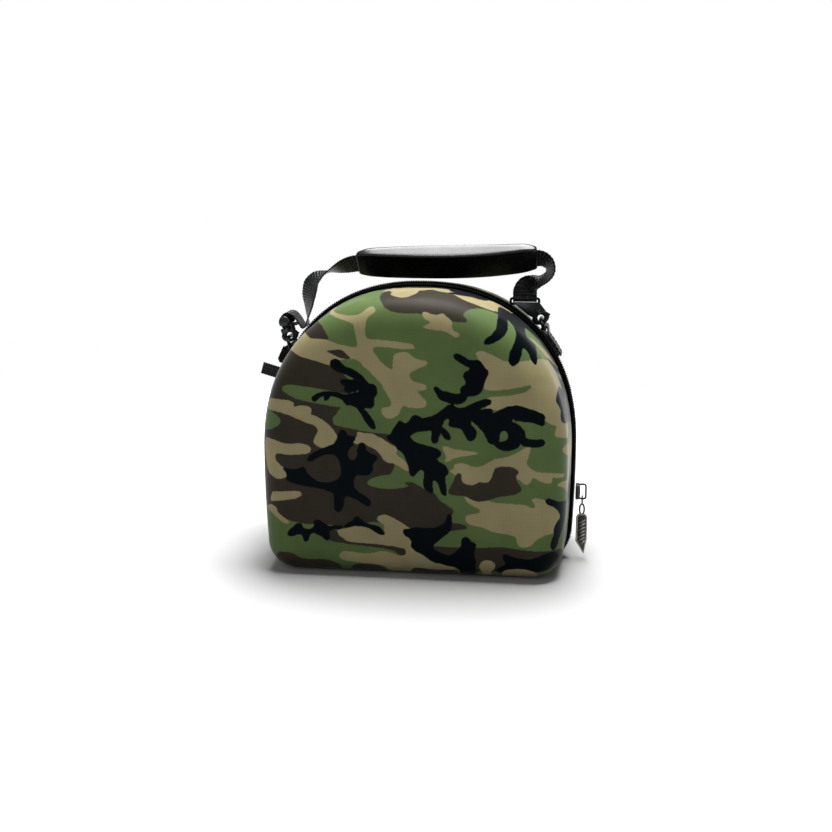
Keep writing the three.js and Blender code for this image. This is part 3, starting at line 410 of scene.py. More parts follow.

# %% [markdown]
# Woodland camouflage is drawn here, as a cutter would chart it: each blotch is an outline
# of x and z places in millimetres on the cloth laid flat. The face keeps its own x and z, and the
# cloth beyond its edge is unrolled outwards over the round edge and the side wall. Later inks
# cover earlier ones. Corners are cut twice, so the straight steps turn into soft ink edges.

# %% Woodland chart
CHART = {
    "brown": """
-145 200, -120 195, -100 187, -90 182, -80 180, -72 178, -64 175.5, -58 172, -50 167, -46 160, -46 150,
-57 140, -58 137, -62 133, -61 128, -55 126.5, -48 125.5, -41 124, -30 122.5, -20 122, -11 121, -9 110,
-11 100, -12 95, -13 88, -10 82, 2 83.5, 8 80.5, 13 77, 19 76, 22 73, 24 69, 30 65, 36 61, 36 58.5, 33 55,
34 50, 41 50, 49 47, 44 45, 33 43, 10 42, -5 42, -27 49, -40 46, -52 44, -62 44, -75 45, -85 44, -95 45.5,
-105 48, -125 56, -145 60

-64 196, -68 202, -73 208, -80 213, -92 224, -108 237, -122 236, -130 225, -110 214, -97 205, -84 196,
-72 194

-36 292, -34 262, -31 246, -27 234, -24 228, -20 221.5, -10 218, 8 218, 20 216, 33 212, 45 211.5, 46 214,
42 217, 43 221, 48 225, 56 229, 66 230, 74 229, 80 236, 84 250, 86 270, 84 292

-68 41.5, -62 41.5, -58 38, -52 33, -45 31, -25 30, -10 28.5, -3 27, -3 22, -6 20, -10 21.5, -12 24.5,
-25 26.5, -45 28, -58 29.5, -66 30.5, -68 34

-112 17, -104 19, -97 18.5, -92 14, -85 12.5, -75 13.5, -68 13, -62 10, -58 6, -60 -18, -110 -18, -118 5

-48 8, -38 10, -30 9.5, -24 7, -20 0, -24 -16, -46 -16, -51 0

0 6, 10 8, 25 8, 38 6, 40 -12, 0 -14

14 30, 30 29.5, 45 29.5, 60 30, 75 31.5, 90 29.5, 105 28.5, 120 28, 134 25, 128 12, 110 6, 77 8, 70 6,
52 4, 42 10, 22 22
""",
    "tan": """
-31 225, -28 222, -28 219, -32 216, -35 212, -35 206, -35 199, -33 197, -26 197, -15 196, -5 195, 2 194,
5 192, 4 190, -8 190, -18 191, -29 191, -29 188, -26 184, -22 179, -17 175, -13 173, -13 180, -12 185,
-9 187, -3 188, 1 186, 4 183, 9 181.5, 14 181, 15 179, 13 177, 7 174.5, 1 171.5, 0 168, 3 164.5, 10 163,
14 161.5, 14 158, 10 157.3, 5 157.5, 7 155.5, 11 152, 14 149, 14 145, 9 143, 4 143.5, 0 143.5, -4 145,
-6 143, -7 140, -9 137, -14 134.5, -18 134, -21 137, -22.5 141, -21 143, -17 143.5, -14 145, -14 148,
-18 154, -22 162, -27 167, -32 172, -37 176, -40 180, -46 181.5, -52 180.5, -60 179, -64 175.5, -72 178,
-80 180, -90 182, -100 187, -120 195, -145 200, -147 232, -128 224, -110 216, -97 207, -88 201, -82 197,
-75 196.5, -66 196, -60 193.5, -52 191.5, -41 190, -42 198, -44 205, -45 209, -50 211, -58 213.5, -65 217,
-72 222, -82 232, -92 242, -102 252, -94 258, -85 244, -75 231, -66 222, -57 217.5, -48 216, -41 217,
-37 221, -34 224.5

-24 264, -22 248, -17 239, -9 235, -3 237, 1 245, 2 262, -1 280, -8 292, -18 292, -23 280

24 272, 34 262, 40 250, 46 241, 56 236, 66 234, 74 235, 79 244, 82 258, 82 292, 30 292

10 220, 13 219.5, 20 217, 26 219, 29 216, 33 213, 34 210, 33 207, 36 204, 40 203, 40 200.5, 36 199.5,
32 202, 28 204.5, 20 205, 13 206, 9.5 208, 15 209.5, 17 211.5, 12 213.5, 10 216

52 188, 55 189.5, 60 189, 66 186, 74 182, 82 180.5, 90 182, 100 183.5, 112 187, 125 190, 147 194, 152 150,
147 117, 130 119, 121 120.5, 116 122, 117 127, 119 130, 112 132, 106 136, 96 140, 80 143, 68 143, 55 145,
58 150, 64 153.5, 75 154.5, 84 155.5, 92 158, 96 161, 96 163.5, 90 162, 80 160, 68 158.5, 60 159, 58 163,
61 171, 58 178, 54 183

124 110, 128 113, 140 114, 148 108, 140 103, 133 104, 127 107

26 113, 30 113.5, 36 111, 45 110, 52 109.5, 57 108, 50 106.5, 42 105, 36 104, 32 101, 27 99, 30 104,
28 108

31 93, 36 95, 36 98, 40 100, 46 99.5, 50 97, 57 97, 62 100, 68 104, 76 105, 84 108, 91 113, 97 115,
95 107, 93 101, 97 96, 103 93.5, 112 93, 122 91, 132 89, 126 87, 118 88, 113 90, 115 86, 113 84, 107 85,
101 88, 98 90, 97 86, 95 83.5, 92 83, 90 85, 87 89, 80 82, 60 76, 44 80, 38 90

44 73.5, 50 71, 56 70, 62 70, 70 68, 85 67.5, 95 66.5, 97 64, 101 65, 100 68, 97 71, 100 73, 106 72,
110 70, 116 66, 122 62, 126 58, 125 54, 121 50, 118 46, 118 42, 112 42, 105 40, 101 37, 98 33, 93 31.5,
88 32, 86.5 36, 86 40, 82 41.5, 75 42.5, 66 44, 60 47, 52 48.5, 46 50.5, 45 53, 46 57, 51 58, 56 59,
58 61, 56 63, 50 65, 45 69.5

118 82, 125 84, 140 82, 152 76, 150 68, 138 72, 128 78

-60 39.5, -55 42, -50 43.5, -46 45, -40 45, -33 44, -27 42, -21 39, -19 40, -22 43, -19 45, -24 48,
-27 51, -25 54, -20 55, -14 53, -7 49, 0 44.5, 3 42, 4 36, 4 30, 8 27, 14 22, 20 17, 28 12, 36 10, 38 6,
20 5, 0 8, -3 -14, -18 -14, -20 8, -30 10, -38 10, -48 12, -55 13, -58 16, -58 20, -54 22.5, -45 22,
-38 20.5, -30 22, -22 24, -14 22.5, -8 20, -3 21, -3 26, -8 27.5, -25 29.5, -42 30, -50 30.5, -54 33,
-58 36

-124 147, -112 146.5, -103 146.5, -96 146, -93 143.5, -94 141, -90 142, -83 142.5, -79 141, -79 138,
-80 135.5, -75 134, -70 131.5, -64 127, -60 122, -57.5 117, -59 113, -64 111, -68 108, -73 109, -77 111.5,
-78 114, -76 118, -74 121, -74 124, -77 127, -83 128.5, -90 131, -97 134, -105 136, -113 136.5, -126 137

-124 114, -112 113, -103 111, -97 110.5, -90 111.5, -83 110.5, -80 108, -80 105, -83 103, -92 102,
-100 101.5, -108 102.5, -111 101, -111 97, -108 94, -104 91, -101 88, -99.5 85, -102 82, -108 80.5,
-115 82, -121 86, -124 96, -126 107

-117 66, -115 69, -110 70, -100 71, -92 72, -89 71, -88 69, -91 66, -97 64.5, -105 63, -112 61.5, -119 60

-126 54, -118 58, -112 57, -110 53, -105 49, -100 46.5, -99 43, -103 43.5, -110 47, -117 51

-46 115, -44 117, -41.5 119, -42 122, -40 123, -35 121.5, -30 122, -26 120, -20 117, -14 113, -9 111,
-8.5 109, -11 106, -8 104, -3 100, 0.5 95, 0.5 91.5, -3 92.5, -8 95.5, -12 98, -18 98.5, -21 101, -23 105,
-27 109, -33 111.5, -37 114, -40 113, -43 112.5

56 11, 57 16, 60 19, 65 19.5, 69 17, 69.5 12, 66 7, 64 -8, 60 -8, 58 6

74 8, 85 11.5, 95 11, 105 5, 100 -10, 75 -10
""",
    "green": """
-78 294, -74 262, -66 244, -54 234, -42 232, -36 240, -36 262, -38 294

-106 155, -103 158, -97 159, -85 158, -72 156.5, -60 154.5, -50 153, -42 152, -44 144, -54 142, -60 142.5,
-70 144, -80 145.5, -90 147, -97 150, -103 153

-132 137, -118 136.5, -110 134, -105 130, -106 126, -112 122.5, -120 120, -132 119

-35 81, -31 84.5, -24 87.5, -15 88.5, -13 92, -11 96, -8 95, -3 92, 1 90, 6 89, 12 87, 14 82, 9 79.5,
5 82.5, 0 83.5, -4 82.5, -3 80.5, 1 79.5, -5 78, -15 76.5, -25 77, -32 79

-10 106, -7 107.5, -4 105, -1 101, -4 101.5, -8 103.5
""",
    "brown_over": """
-68 187, -62 187.5, -55 189, -51 186, -46 181.3, -51 180.5, -56 182, -62 184.5

31 75, 33 80, 36 86, 38 91, 40 92.5, 42 91, 42 86, 44 83, 48 82, 53 82.5, 57 85.5, 60 84, 63 84.5, 66 88,
67 93, 69 97, 74 98, 80 98, 85 96.5, 88 94, 85 90, 86 86, 89 82, 90 79, 86 75.5, 80 74, 72 73, 66 71,
60 69, 54 68.5, 50 70, 46 73, 38 73, 33 73.5
""",
    "black": """
-63 178, -61 180, -57 180, -55 177.5, -52 174.5, -47 173, -42 170.5, -37 167, -34 163, -32 161, -28 161,
-26 158, -26 153.5, -29 150, -28 145.5, -30 142.5, -35 143, -37 141.5, -34 138.5, -30 133, -27 127.5,
-28 125.5, -31 127, -35 132.5, -39 140, -43 143.5, -47 145.5, -49 144, -51 145.5, -53 149, -58 151,
-64 152, -65 149, -67 147, -68 149, -67.5 152, -71 151, -74 148.5, -76 146.3, -78 147.5, -78 149.5,
-74 152, -69 153.8, -63 154, -57 153.3, -51 151.5, -44 153, -38 155.5, -38 157, -43 156.5, -49 154.5,
-52 156, -50 159.5, -53 161, -55 163, -53 164.5, -47 163.8, -42 164.5, -46 167.5, -51 169.5, -57 171,
-62 174.5

35.5 186, 37.5 186.5, 41 185.5, 45 182.5, 49 181, 54 182, 57 179.5, 59 176, 62 173.5, 61.5 170.5, 59 166,
58 160.5, 55 155.5, 50 154.3, 46 154.5, 45 151, 42 148.5, 37 148, 31 149, 26 150.5, 23.5 153, 20 159.5,
21.5 160.8, 25 157, 31 156, 38 154.3, 42 155.5, 41 159, 43 161.5, 46.5 161.5, 45.5 166, 43 169.5,
44.5 172.3, 48 173.5, 49 177, 45 178, 40 181, 36 184

59 195, 62 195, 68 197.5, 74 202, 78 208, 80 216, 84 226, 87 230, 88.5 224, 88.5 212, 87 203, 83 195,
79 187, 78.5 181, 81.5 178.5, 85 180.5, 88 187, 89.5 194, 93 193.5, 96.5 189, 98 183, 100.5 180,
102.5 182, 104 189, 108 197, 113 203, 106 205.5, 101 207, 104 216, 110 227, 120 238, 114 246, 102 254,
88 260, 80 240, 75 227, 71 215, 69 207, 65 201.5, 60 198

120 150, 121 153, 125 158, 132 162, 142 165, 152 160, 152 133, 140 131.5, 130 132, 125 134, 125 138,
126 143, 123 147

-14 121, -12 126, -10 128, -8 132, -6 132, -5 130.5, -2 130, 1 132.5, 3 136, 5 137.5, 8 136, 11 134.5,
15 135.5, 20 137, 24 139.5, 28 143, 32 146, 35 146, 38 143.5, 44 144, 49 146.5, 54 149, 60 151, 64 151,
65 149.5, 63 147.5, 58 145.5, 53 142.5, 56 142, 62 143.5, 65 143.5, 66 142, 64 139, 63 137.5, 67 140,
72 142.5, 78 145.5, 86 146.5, 94 144, 100 142, 105 140, 107.5 137.5, 106 135, 107 132.5, 105 131.5,
101 133, 97 134.5, 90 135, 84 136, 80 138, 80 134, 84 132, 88 130, 91 126, 91.5 121, 95 119.5, 102 119.5,
106 119.5, 107.5 117.5, 105 115, 98 114.5, 92 115, 88 117.5, 87 115, 84 112.5, 79 111, 74 111.5, 70 113.5,
68.5 115.5, 72 117, 77 117.5, 79 120, 79.5 124, 77 127.5, 73 127.5, 71 124, 71.5 119.5, 69 117.5, 66 116,
63.5 117.5, 62 121, 60 125, 55 131, 50 135, 48 137, 47.5 133, 50 129, 53 126, 53 122, 50.5 118.5,
48 118.5, 46 121, 44 125, 42 128.5, 38 129, 33 129.5, 32 131.5, 34 134, 31 136.5, 28 136, 27 132, 25 129,
28 127, 32 123, 33 119.5, 31 118.5, 28 121, 25 126, 23 127.5, 23.5 122, 22.5 116.5, 20 115.5, 18.5 117.5,
19 123, 19 127, 15 126, 10 125.5, 5 124.5, 1 122, 0 119.5, 4 115.5, 10 113.5, 17 112, 23 110, 25.5 107.5,
24 104.5, 20.5 103, 24 99.5, 28 98, 31 94, 31 91, 28.5 89, 28.5 84, 29.5 78, 29.5 73, 28 73, 26 76, 25 80,
24 84, 21 86, 18.5 85, 18 81, 19 76, 17.5 75, 14.5 77, 12 80, 12 84, 13 89, 13 93, 10 94.5, 7 93, 5 90,
3 88, 1 90, 0.5 95, -1 100, -3 105, -6 108.5, -9 110, -10 113, -13 115, -16 117.5, -18 119.5

-57 118, -56 122, -54 123.5, -51.5 122.5, -50.5 119.5, -47 118, -44 118.5, -44 116, -46.5 114, -45 112,
-48 110.5, -50.5 106, -50 101, -47 98, -43 99, -41 103, -41 109, -39 114, -36 113, -35 107, -31 104.5,
-26 103, -26 101, -30 98, -30 92, -32 88.5, -37 87.5, -42 88.5, -45 86, -46 80, -45 76, -41 72, -36 69.5,
-32.5 66.5, -31.5 63.5, -33.5 62, -38 64.5, -45 68.5, -51 70.5, -54 68.5, -54 62, -56 57, -58.5 56,
-61 59, -60.5 66, -61 72, -67 74, -75 76, -88 77, -101 80.5, -99.5 84, -101 88, -104 90, -97 89, -91 89,
-88 91.5, -86 91, -84 86.5, -80 83, -76 80, -70 79, -63 79.5, -57 82.5, -54.5 87, -54.5 94, -57 101,
-60 104, -67 104.5, -74 101.5, -79 98, -81.5 97, -82.5 99, -80 102, -73 106, -65 109.5, -60 111.5

-101 35, -98 38.5, -94 42.5, -91 45, -89 43, -88 40, -84 39, -80 40, -77 42, -78 46, -77.5 48, -74 47.5,
-70 44.5, -66 42.5, -62 43, -56 43.5, -52 43.5, -50 46.5, -46 48, -44 51.5, -42 52, -40 49.5, -36 46.5,
-30 45, -25 44, -22 41, -20.5 38.5, -23 38, -27 40, -31 43, -38 45, -45 45, -50 43.5, -58 41.5, -65 41,
-67 38, -66 32, -67.5 31, -71 34, -75 36, -79 38, -83 36, -84 30.5, -85.5 29, -87 31, -88 35, -91 36.5,
-95 34.5, -99 33.5

-5 42.5, 0 43, 5 44.5, 12 44, 20 44.5, 26 47, 30 50, 31 55, 32.5 57.5, 34 56, 33.5 50, 33 44, 30 41,
25 37, 20 32, 17 29, 22 25, 28 22, 33 21.5, 37 24, 41 28, 43 31, 42.5 35, 44 37.5, 46.5 38.5, 48.5 36,
49 33.5, 52 34.5, 53.5 32, 52 28, 51.5 23, 53 18, 52 12, 53 5, 52 -6, 40 -8, 41 8, 36 12, 30 12, 26 14.5,
20 15, 15 19, 12 22, 6 25, 1 29, 3 32, 0 37, -4 38.5

76 24, 78 25, 83 22.5, 90 21, 97 20.5, 103 22.5, 109 25, 116 26, 122 24, 124 20, 118 16, 112 10, 105 8,
98 11, 90 13, 82 11.5, 76 10, 73 4, 70 8, 75 13, 79 16, 77 20

109 70, 111 71.5, 115 70, 120 67.5, 126 66, 134 65.5, 147 64, 150 52, 138 50, 132 49, 128 43, 124 38,
122 33, 120 29.5, 117 29, 115 31, 115.5 36, 118 40, 118 46, 120 50, 124 52, 125 56, 122 61, 117 65,
111 67.5
""",
}
print("charted outlines:", {layer: text.count("\n\n") + 1 for layer, text in CHART.items()})

# %% [markdown]
# The chart ends on the side walls. Seeded blotches of about the same size carry the print on
# there. For every point of a shell the distance to the nearest edge of each ink is worked out
# once and kept on the mesh, because a shader can't walk through a list of outlines.

# %% Blotches and their edges
MARGIN_SEED = 41
MARGIN_BLOTS = {"brown": 44, "tan": 38, "green": 0, "brown_over": 0, "black": 26}
MARGIN_OUT, MARGIN_SLANT = (38, 66), (-0.5, 0.5)
MARGIN_LENGTH, MARGIN_FLATNESS = (14, 30), (0.3, 0.5)
MARGIN_CORNERS = 16
LOBES = ((2, 0.35), (5, 0.25))  # how many go round a blotch, and how far they stand out
FAR_MM = 9.0  # beyond this an edge no longer matters
BLEED_MM = {"black": 0.9}  # black ink is printed last and spreads a little
CORNER_CUT = 0.2


def soft_outline(stops):
    """Cuts each corner of a closed outline, twice."""
    keep = 1 - CORNER_CUT
    for _ in range(2):
        after = np.roll(stops, -1, axis=0)
        cuts = [keep * stops + CORNER_CUT * after, CORNER_CUT * stops + keep * after]
        stops = np.stack(cuts, axis=1).reshape(-1, 2)
    return stops


def read_blots(text):
    """Outlines are kept apart by an empty line, and their places by commas."""
    blots = []
    for row in text.strip().split("\n\n"):
        stops = [[float(n) for n in stop.split()] for stop in row.split(",")]
        blots.append(soft_outline(np.array(stops)))
    return blots


def margin_blots(rng, count):
    """Wandering blotches on the side walls, outside the charted face."""
    blots = []
    turns = 2 * math.pi * np.arange(MARGIN_CORNERS) / MARGIN_CORNERS
    for _ in range(count):
        station = rng.integers(OUTLINE_STATIONS)
        middle = outline[station] + outward[station] * rng.uniform(*MARGIN_OUT)
        slant, length = rng.uniform(*MARGIN_SLANT), rng.uniform(*MARGIN_LENGTH)
        reach = 1 + sum(size * np.sin(lobes * turns + rng.uniform(0, 6)) for lobes, size in LOBES)
        flatness = rng.uniform(*MARGIN_FLATNESS)
        x, z = reach * length * np.cos(turns), reach * length * flatness * np.sin(turns)
        c, s = math.cos(slant), math.sin(slant)
        blots.append(soft_outline(middle + np.stack([x * c - z * s, x * s + z * c], axis=1)))
    return blots


def distance_to(blots, places):
    """Signed distance to the nearest blotch edge, negative inside."""
    nearest = np.full(len(places), FAR_MM)
    for blot in blots:
        low, high = blot.min(axis=0) - FAR_MM, blot.max(axis=0) + FAR_MM
        close = np.flatnonzero(np.all((places > low) & (places < high), axis=1))
        if not len(close):
            continue
        at = places[close]
        gap, inside = np.full(len(at), FAR_MM ** 2), np.zeros(len(at), bool)
        for a, b in zip(blot, np.roll(blot, -1, axis=0)):
            span = b - a
            share = np.clip((at - a) @ span / (span @ span), 0, 1)
            gap = np.minimum(gap, np.sum((at - a - share[:, None] * span) ** 2, axis=1))
            crossing = (a[1] > at[:, 1]) != (b[1] > at[:, 1])
            inside ^= crossing & (at[:, 0] < a[0] + span[0] * (at[:, 1] - a[1]) / (span[1] or 1))
        nearest[close] = np.minimum(nearest[close], np.where(inside, -1, 1) * np.sqrt(gap))
    return nearest


rng = np.random.default_rng(MARGIN_SEED)
blots = {layer: read_blots(text) for layer, text in CHART.items()}
for layer, count in MARGIN_BLOTS.items():
    blots[layer] = margin_blots(rng, count) + blots[layer]
print("blotches:", {layer: len(shapes) for layer, shapes in blots.items()})

# %% [markdown]
# Each half shell is one skin of foam with cloth outside and a dark lining inside. A section runs
# from the middle of the face, over the round edge and down the side wall to the rim, then
# back along the inside. The rim is rolled a little, as moulded foam is where it meets the zip.

# %% Half shells
RIM_Y, FACE_Y, FACE_CROWN, EDGE_RADIUS, DRAFT, WALL = 9, 78, 3, 26, 2, 4
RIM_ROLL, RIM_EASE, RIM_CLOTH = 1.2, 0.35, 0.8
RIM_ROWS = [  # inset, y
    (RIM_EASE, RIM_Y + RIM_EASE), (RIM_ROLL, RIM_Y), (WALL - RIM_ROLL, RIM_Y),
    (WALL - RIM_EASE, RIM_Y + RIM_EASE),
]
OUTER_STEPS, INNER_STEPS = (24, 22, 40), (4, 6, 4)  # along the side, the round edge and the face
FACE_MIDDLE = np.array([0, RIM_TOP / 2])
upright = 1 - np.maximum(0, -outward[:, 1:])  # 0 on the flat base, which has no draft
face_edge = outline - outward * (DRAFT * upright + EDGE_RADIUS)


def shell_rows(inset, side_steps, edge_steps, face_steps):
    """Rows as (draft, inset of the round edge, y, cloth beyond the face edge, share of the face)."""
    radius, straight, quarter = EDGE_RADIUS - inset, FACE_Y - EDGE_RADIUS, math.pi / 2
    rows = []
    for y in np.linspace(RIM_Y + RIM_ROLL, straight, side_steps):
        draft = DRAFT * (y - RIM_Y) / (straight - RIM_Y)
        rows.append((draft, 0, y, radius * quarter + straight - y, 1))
    for turn in np.linspace(0, quarter, edge_steps + 1)[1:]:
        y = straight + radius * math.sin(turn)
        rows.append((DRAFT, radius * (1 - math.cos(turn)), y, radius * (quarter - turn), 1))
    for share in np.linspace(1, 0, face_steps + 1)[1:-1]:
        rows.append((DRAFT, radius, FACE_Y - inset + FACE_CROWN * (1 - share ** 2), 0, share))
    return rows


def shell_ring(row, inset, side):
    draft, rounding, y, _, share = row
    ring = outline - outward * (draft * upright + rounding + inset)
    ring = FACE_MIDDLE + share * (ring - FACE_MIDDLE)
    return in_zip_plane(*ring.T, side * y)


def shell_cover(name, side, body, node):
    """Outer rings from the face to the rim, a rolled rim, then inner rings to the inner face."""
    rings, places = [], []
    for row in reversed(shell_rows(0, *OUTER_STEPS)):
        ring = shell_ring(row, 0, side)
        rings.append(ring)
        places.append(face_edge + outward * row[3] if row[4] == 1 else ring[:, [0, 2]])
    for inset, y in RIM_ROWS:
        rings.append(in_zip_plane(*(outline - outward * inset).T, side * y))
        places.append(places[-1] + outward * RIM_CLOTH)
    outer_rings = len(rings) - 2
    for row in shell_rows(WALL, *INNER_STEPS):
        ring = shell_ring(row, WALL, side)
        rings.append(ring)
        places.append(ring[:, [0, 2]] + outward * row[3])
    columns = len(outline)
    points = np.concatenate(rings)
    faces = skin(len(rings), columns, caps=False)
    indices = [0 if i // columns < outer_rings else 1 for i in range(len(faces))]
    for inset, row, flip, index in ((0, 0, True, 0), (WALL, len(rings) - 1, False, 1)):
        pole = len(points)
        middle = in_zip_plane(*FACE_MIDDLE, side * (FACE_Y + FACE_CROWN - inset))
        points = np.concatenate([points, [middle]])
        places.append(FACE_MIDDLE[None])
        for k in range(columns):
            a, b = row * columns + k, row * columns + (k + 1) % columns
            faces.append((pole, b, a) if flip else (pole, a, b))
            indices.append(index)
    if side > 0:
        faces = [f[::-1] for f in faces]
    flat = np.concatenate(places)
    piece = make_piece(
        name, points, faces, [printed_cloth, lining_knit], body, "printed_cloth", node,
        np.column_stack([flat, np.zeros(len(flat))]), indices,
    )
    if side > 0:
        flat = np.array([0, RIM_TOP]) - flat
    for layer, shapes in blots.items():
        put = piece.data.attributes.new(layer, "FLOAT", "POINT")
        edge_mm = distance_to(shapes, flat) - BLEED_MM.get(layer, 0)
        put.data.foreach_set("value", edge_mm.astype(np.float32))
    return piece


front_cover = shell_cover("front_cover", -1, "front", "front_shell")
back_cover = shell_cover("back_cover", 1, "back", "back_shell")
print("shell faces:", len(front_cover.data.polygons), len(back_cover.data.polygons))

# %% [markdown]
# A zip band joins the halves over the arch: a corded piping sewn to each shell, a woven tape, and
# two rows of moulded teeth that interlock. The tape is one swept section. The teeth are small
# blocks on it, one for each step along the band, with the back row half a step behind the front.

# %% Zip tape, piping and teeth
ZIP_HALF_GAP, TAPE_OUT, PIPING_RADIUS = 0.04, 1.7, 1.4
PIPING_MIDDLE = (7.2, 1.05)
SEAM_Y, SEAM_OUT = 8.6, -3
ZIP_PROFILE = [  # y from the zip plane, distance out of the outline
    (ZIP_HALF_GAP, SEAM_OUT), (SEAM_Y, SEAM_OUT),
    *(PIPING_MIDDLE + arc(np.linspace(0, math.pi, 10), PIPING_RADIUS)),
    (5.3, TAPE_OUT - 0.3), (3.8, TAPE_OUT), (ZIP_HALF_GAP, TAPE_OUT),
]
TOOTH_PITCH, TOOTH_MARGIN = 2.0, 1
TOOTH = [  # along the zip, distance out of the outline
    (-0.62, 1.5), (0.62, 1.5), (0.62, 3.2), (0.4, 3.75), (-0.4, 3.75), (-0.62, 3.2),
]
TOOTH_ENDS = [  # y, size; heads reach past the middle
    (-0.8, 0.66), (0.2, 0.7), (0.9, 1), (2.9, 1), (3.5, 0.8),
]
HINGE_TOP = 5.2  # height on the corner where the teeth stop


def swept(stations, profile, side):
    """Closed profile of (y, out) carried along outline stations, with lengths along and across."""
    points, places = [], []
    across = run_length(np.array(profile))
    for at, normal, along in stations:
        for (y, out), wide in zip(profile, across):
            points.append((at[0] + normal[0] * out, side * y, at[1] + normal[1] * out))
            places.append((along, wide, 0))
    faces = skin(len(stations), len(profile))
    return np.array(points), faces if side > 0 else [f[::-1] for f in faces], places


in_zip = [i for i in range(OUTLINE_STATIONS) if outline[i][1] >= HINGE_TOP]
zip_stations = [(outline[i], outward[i], outline_mm[i]) for i in in_zip]


def zip_teeth(name, side, body):
    points, faces = [], []
    first_mm, last_mm = zip_stations[0][2] + TOOTH_MARGIN, zip_stations[-1][2] - TOOTH_MARGIN
    along = np.arange(first_mm, last_mm, TOOTH_PITCH)
    if side > 0:
        along = along + TOOTH_PITCH / 2
    for mm in along:
        at, normal = (
            np.array([np.interp(mm, outline_mm[in_zip], rows[in_zip, i]) for i in (0, 1)])
            for rows in (outline, outward)
        )
        normal = unit(normal)
        run = np.array((-normal[1], normal[0]))
        first = len(points)
        for y, size in TOOTH_ENDS:
            for step, out in TOOTH:
                place = at + run * step * size + normal * (TAPE_OUT + (out - TAPE_OUT) * size)
                points.append((place[0], side * y, place[1]))
        block = skin(len(TOOTH_ENDS), len(TOOTH), first=first)
        faces += block if side < 0 else [f[::-1] for f in block]
    return make_piece(name, points, faces, [tooth_acetal], body, "zip_tape")


for side, body in ((-1, "front"), (1, "back")):
    points, faces, places = swept(zip_stations, ZIP_PROFILE, side)
    make_piece(f"zip_tape_{body}", points, faces, [zip_tape], body, "zip_tape", f"zip_{body}", places)
    teeth = zip_teeth(f"zip_teeth_{body}", side, body)
    print(body, "teeth faces:", len(teeth.data.polygons))

# %% [markdown]
# Under the base the halves are joined by one strip of cloth, which on the real case folds as it opens.
# Here it is a single still sheet, under the back shell on one side and the front shell on the other.

# %% Cloth hinge
HINGE_OUT, HINGE_THICK, HINGE_HALF, HINGE_ROWS = -0.6, 1.6, 8.4, 21
hinge_order = [i for i in range(OUTLINE_STATIONS) if outline[i][1] < HINGE_TOP]
hinge_order.sort(key=lambda i: outline[i][0])
hinge_stations = [(outline[i], outward[i], outline[i][0]) for i in hinge_order[1:-1]]
hinge_y = np.linspace(-HINGE_HALF, HINGE_HALF, HINGE_ROWS)
hinge_section = [(y, HINGE_OUT) for y in hinge_y]
hinge_section += [(y, HINGE_OUT - HINGE_THICK) for y in hinge_y[::-1]]
points, faces, places = swept(hinge_stations, hinge_section, 1)
hinge = make_piece(
    "hinge_cloth", points, faces, [zip_tape], None, "zip_tape", ("hinge_front", "hinge_back"), places,
)
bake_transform(hinge)
print("hinge strip", len(hinge_stations), "rows")

# %% [markdown]
# Strap, anchors and side tab are all the same 20 mm webbing, or a narrower one, folded and sewn.
# A ribbon helper takes a path and the direction across it. Woven edges are a little fuller than
# the middle, so its section is thickest close to each edge.

# %% Webbing ribbons
WEB_WIDTH, WEB_THICK, HARDWARE_Y = 20, 1.5, 14.5
RIBBON = [(-1, 0), (-0.97, -1), (-0.84, -0.8), (0, -0.8), (0.84, -0.8), (0.97, -1)]
RIBBON += [(-a, -b) for a, b in RIBBON]  # across and through, as shares of half its size
RIB_DEPTH, RIB_EDGE, STEPS_PER_RIB, FEWEST_STEPS = 0.13, 0.14, 4, 8


def ribbon_mesh(path, across, thick, width):
    """Ribbed webbing: the path is laid out again in quarter ribs, and each rib swells a little."""
    along = run_length(path)
    steps = np.linspace(0, along[-1], max(int(along[-1] / RIB_MM * STEPS_PER_RIB), FEWEST_STEPS))
    path, across, thick = (
        np.stack([np.interp(steps, along, rows[:, i]) for i in range(3)], axis=1)
        for rows in (path, across, thick)
    )
    swell = np.cos(2 * math.pi * steps / RIB_MM)
    points, places = [], []
    for mm, p, a, t, rib in zip(steps, path, unit(across), unit(thick), swell):
        half, deep = width / 2 + RIB_EDGE * rib, WEB_THICK / 2 + RIB_DEPTH * (rib - 1)
        for u, v in RIBBON:
            points.append(p + a * u * half + t * v * deep)
            places.append((mm, u * width / 2, 0))
    return np.array(points), skin(len(steps), len(RIBBON)), places


def flat_mesh(path, across, width):
    """Webbing that keeps one direction across it all along its path."""
    across = np.tile(across, (len(path), 1))
    return ribbon_mesh(path, across, np.cross(across, directions(path)), width)


def ribbon(name, mesh, node=None):
    points, faces, places = mesh
    make_piece(name, points, faces, [webbing], "back", "webbing", node, places)


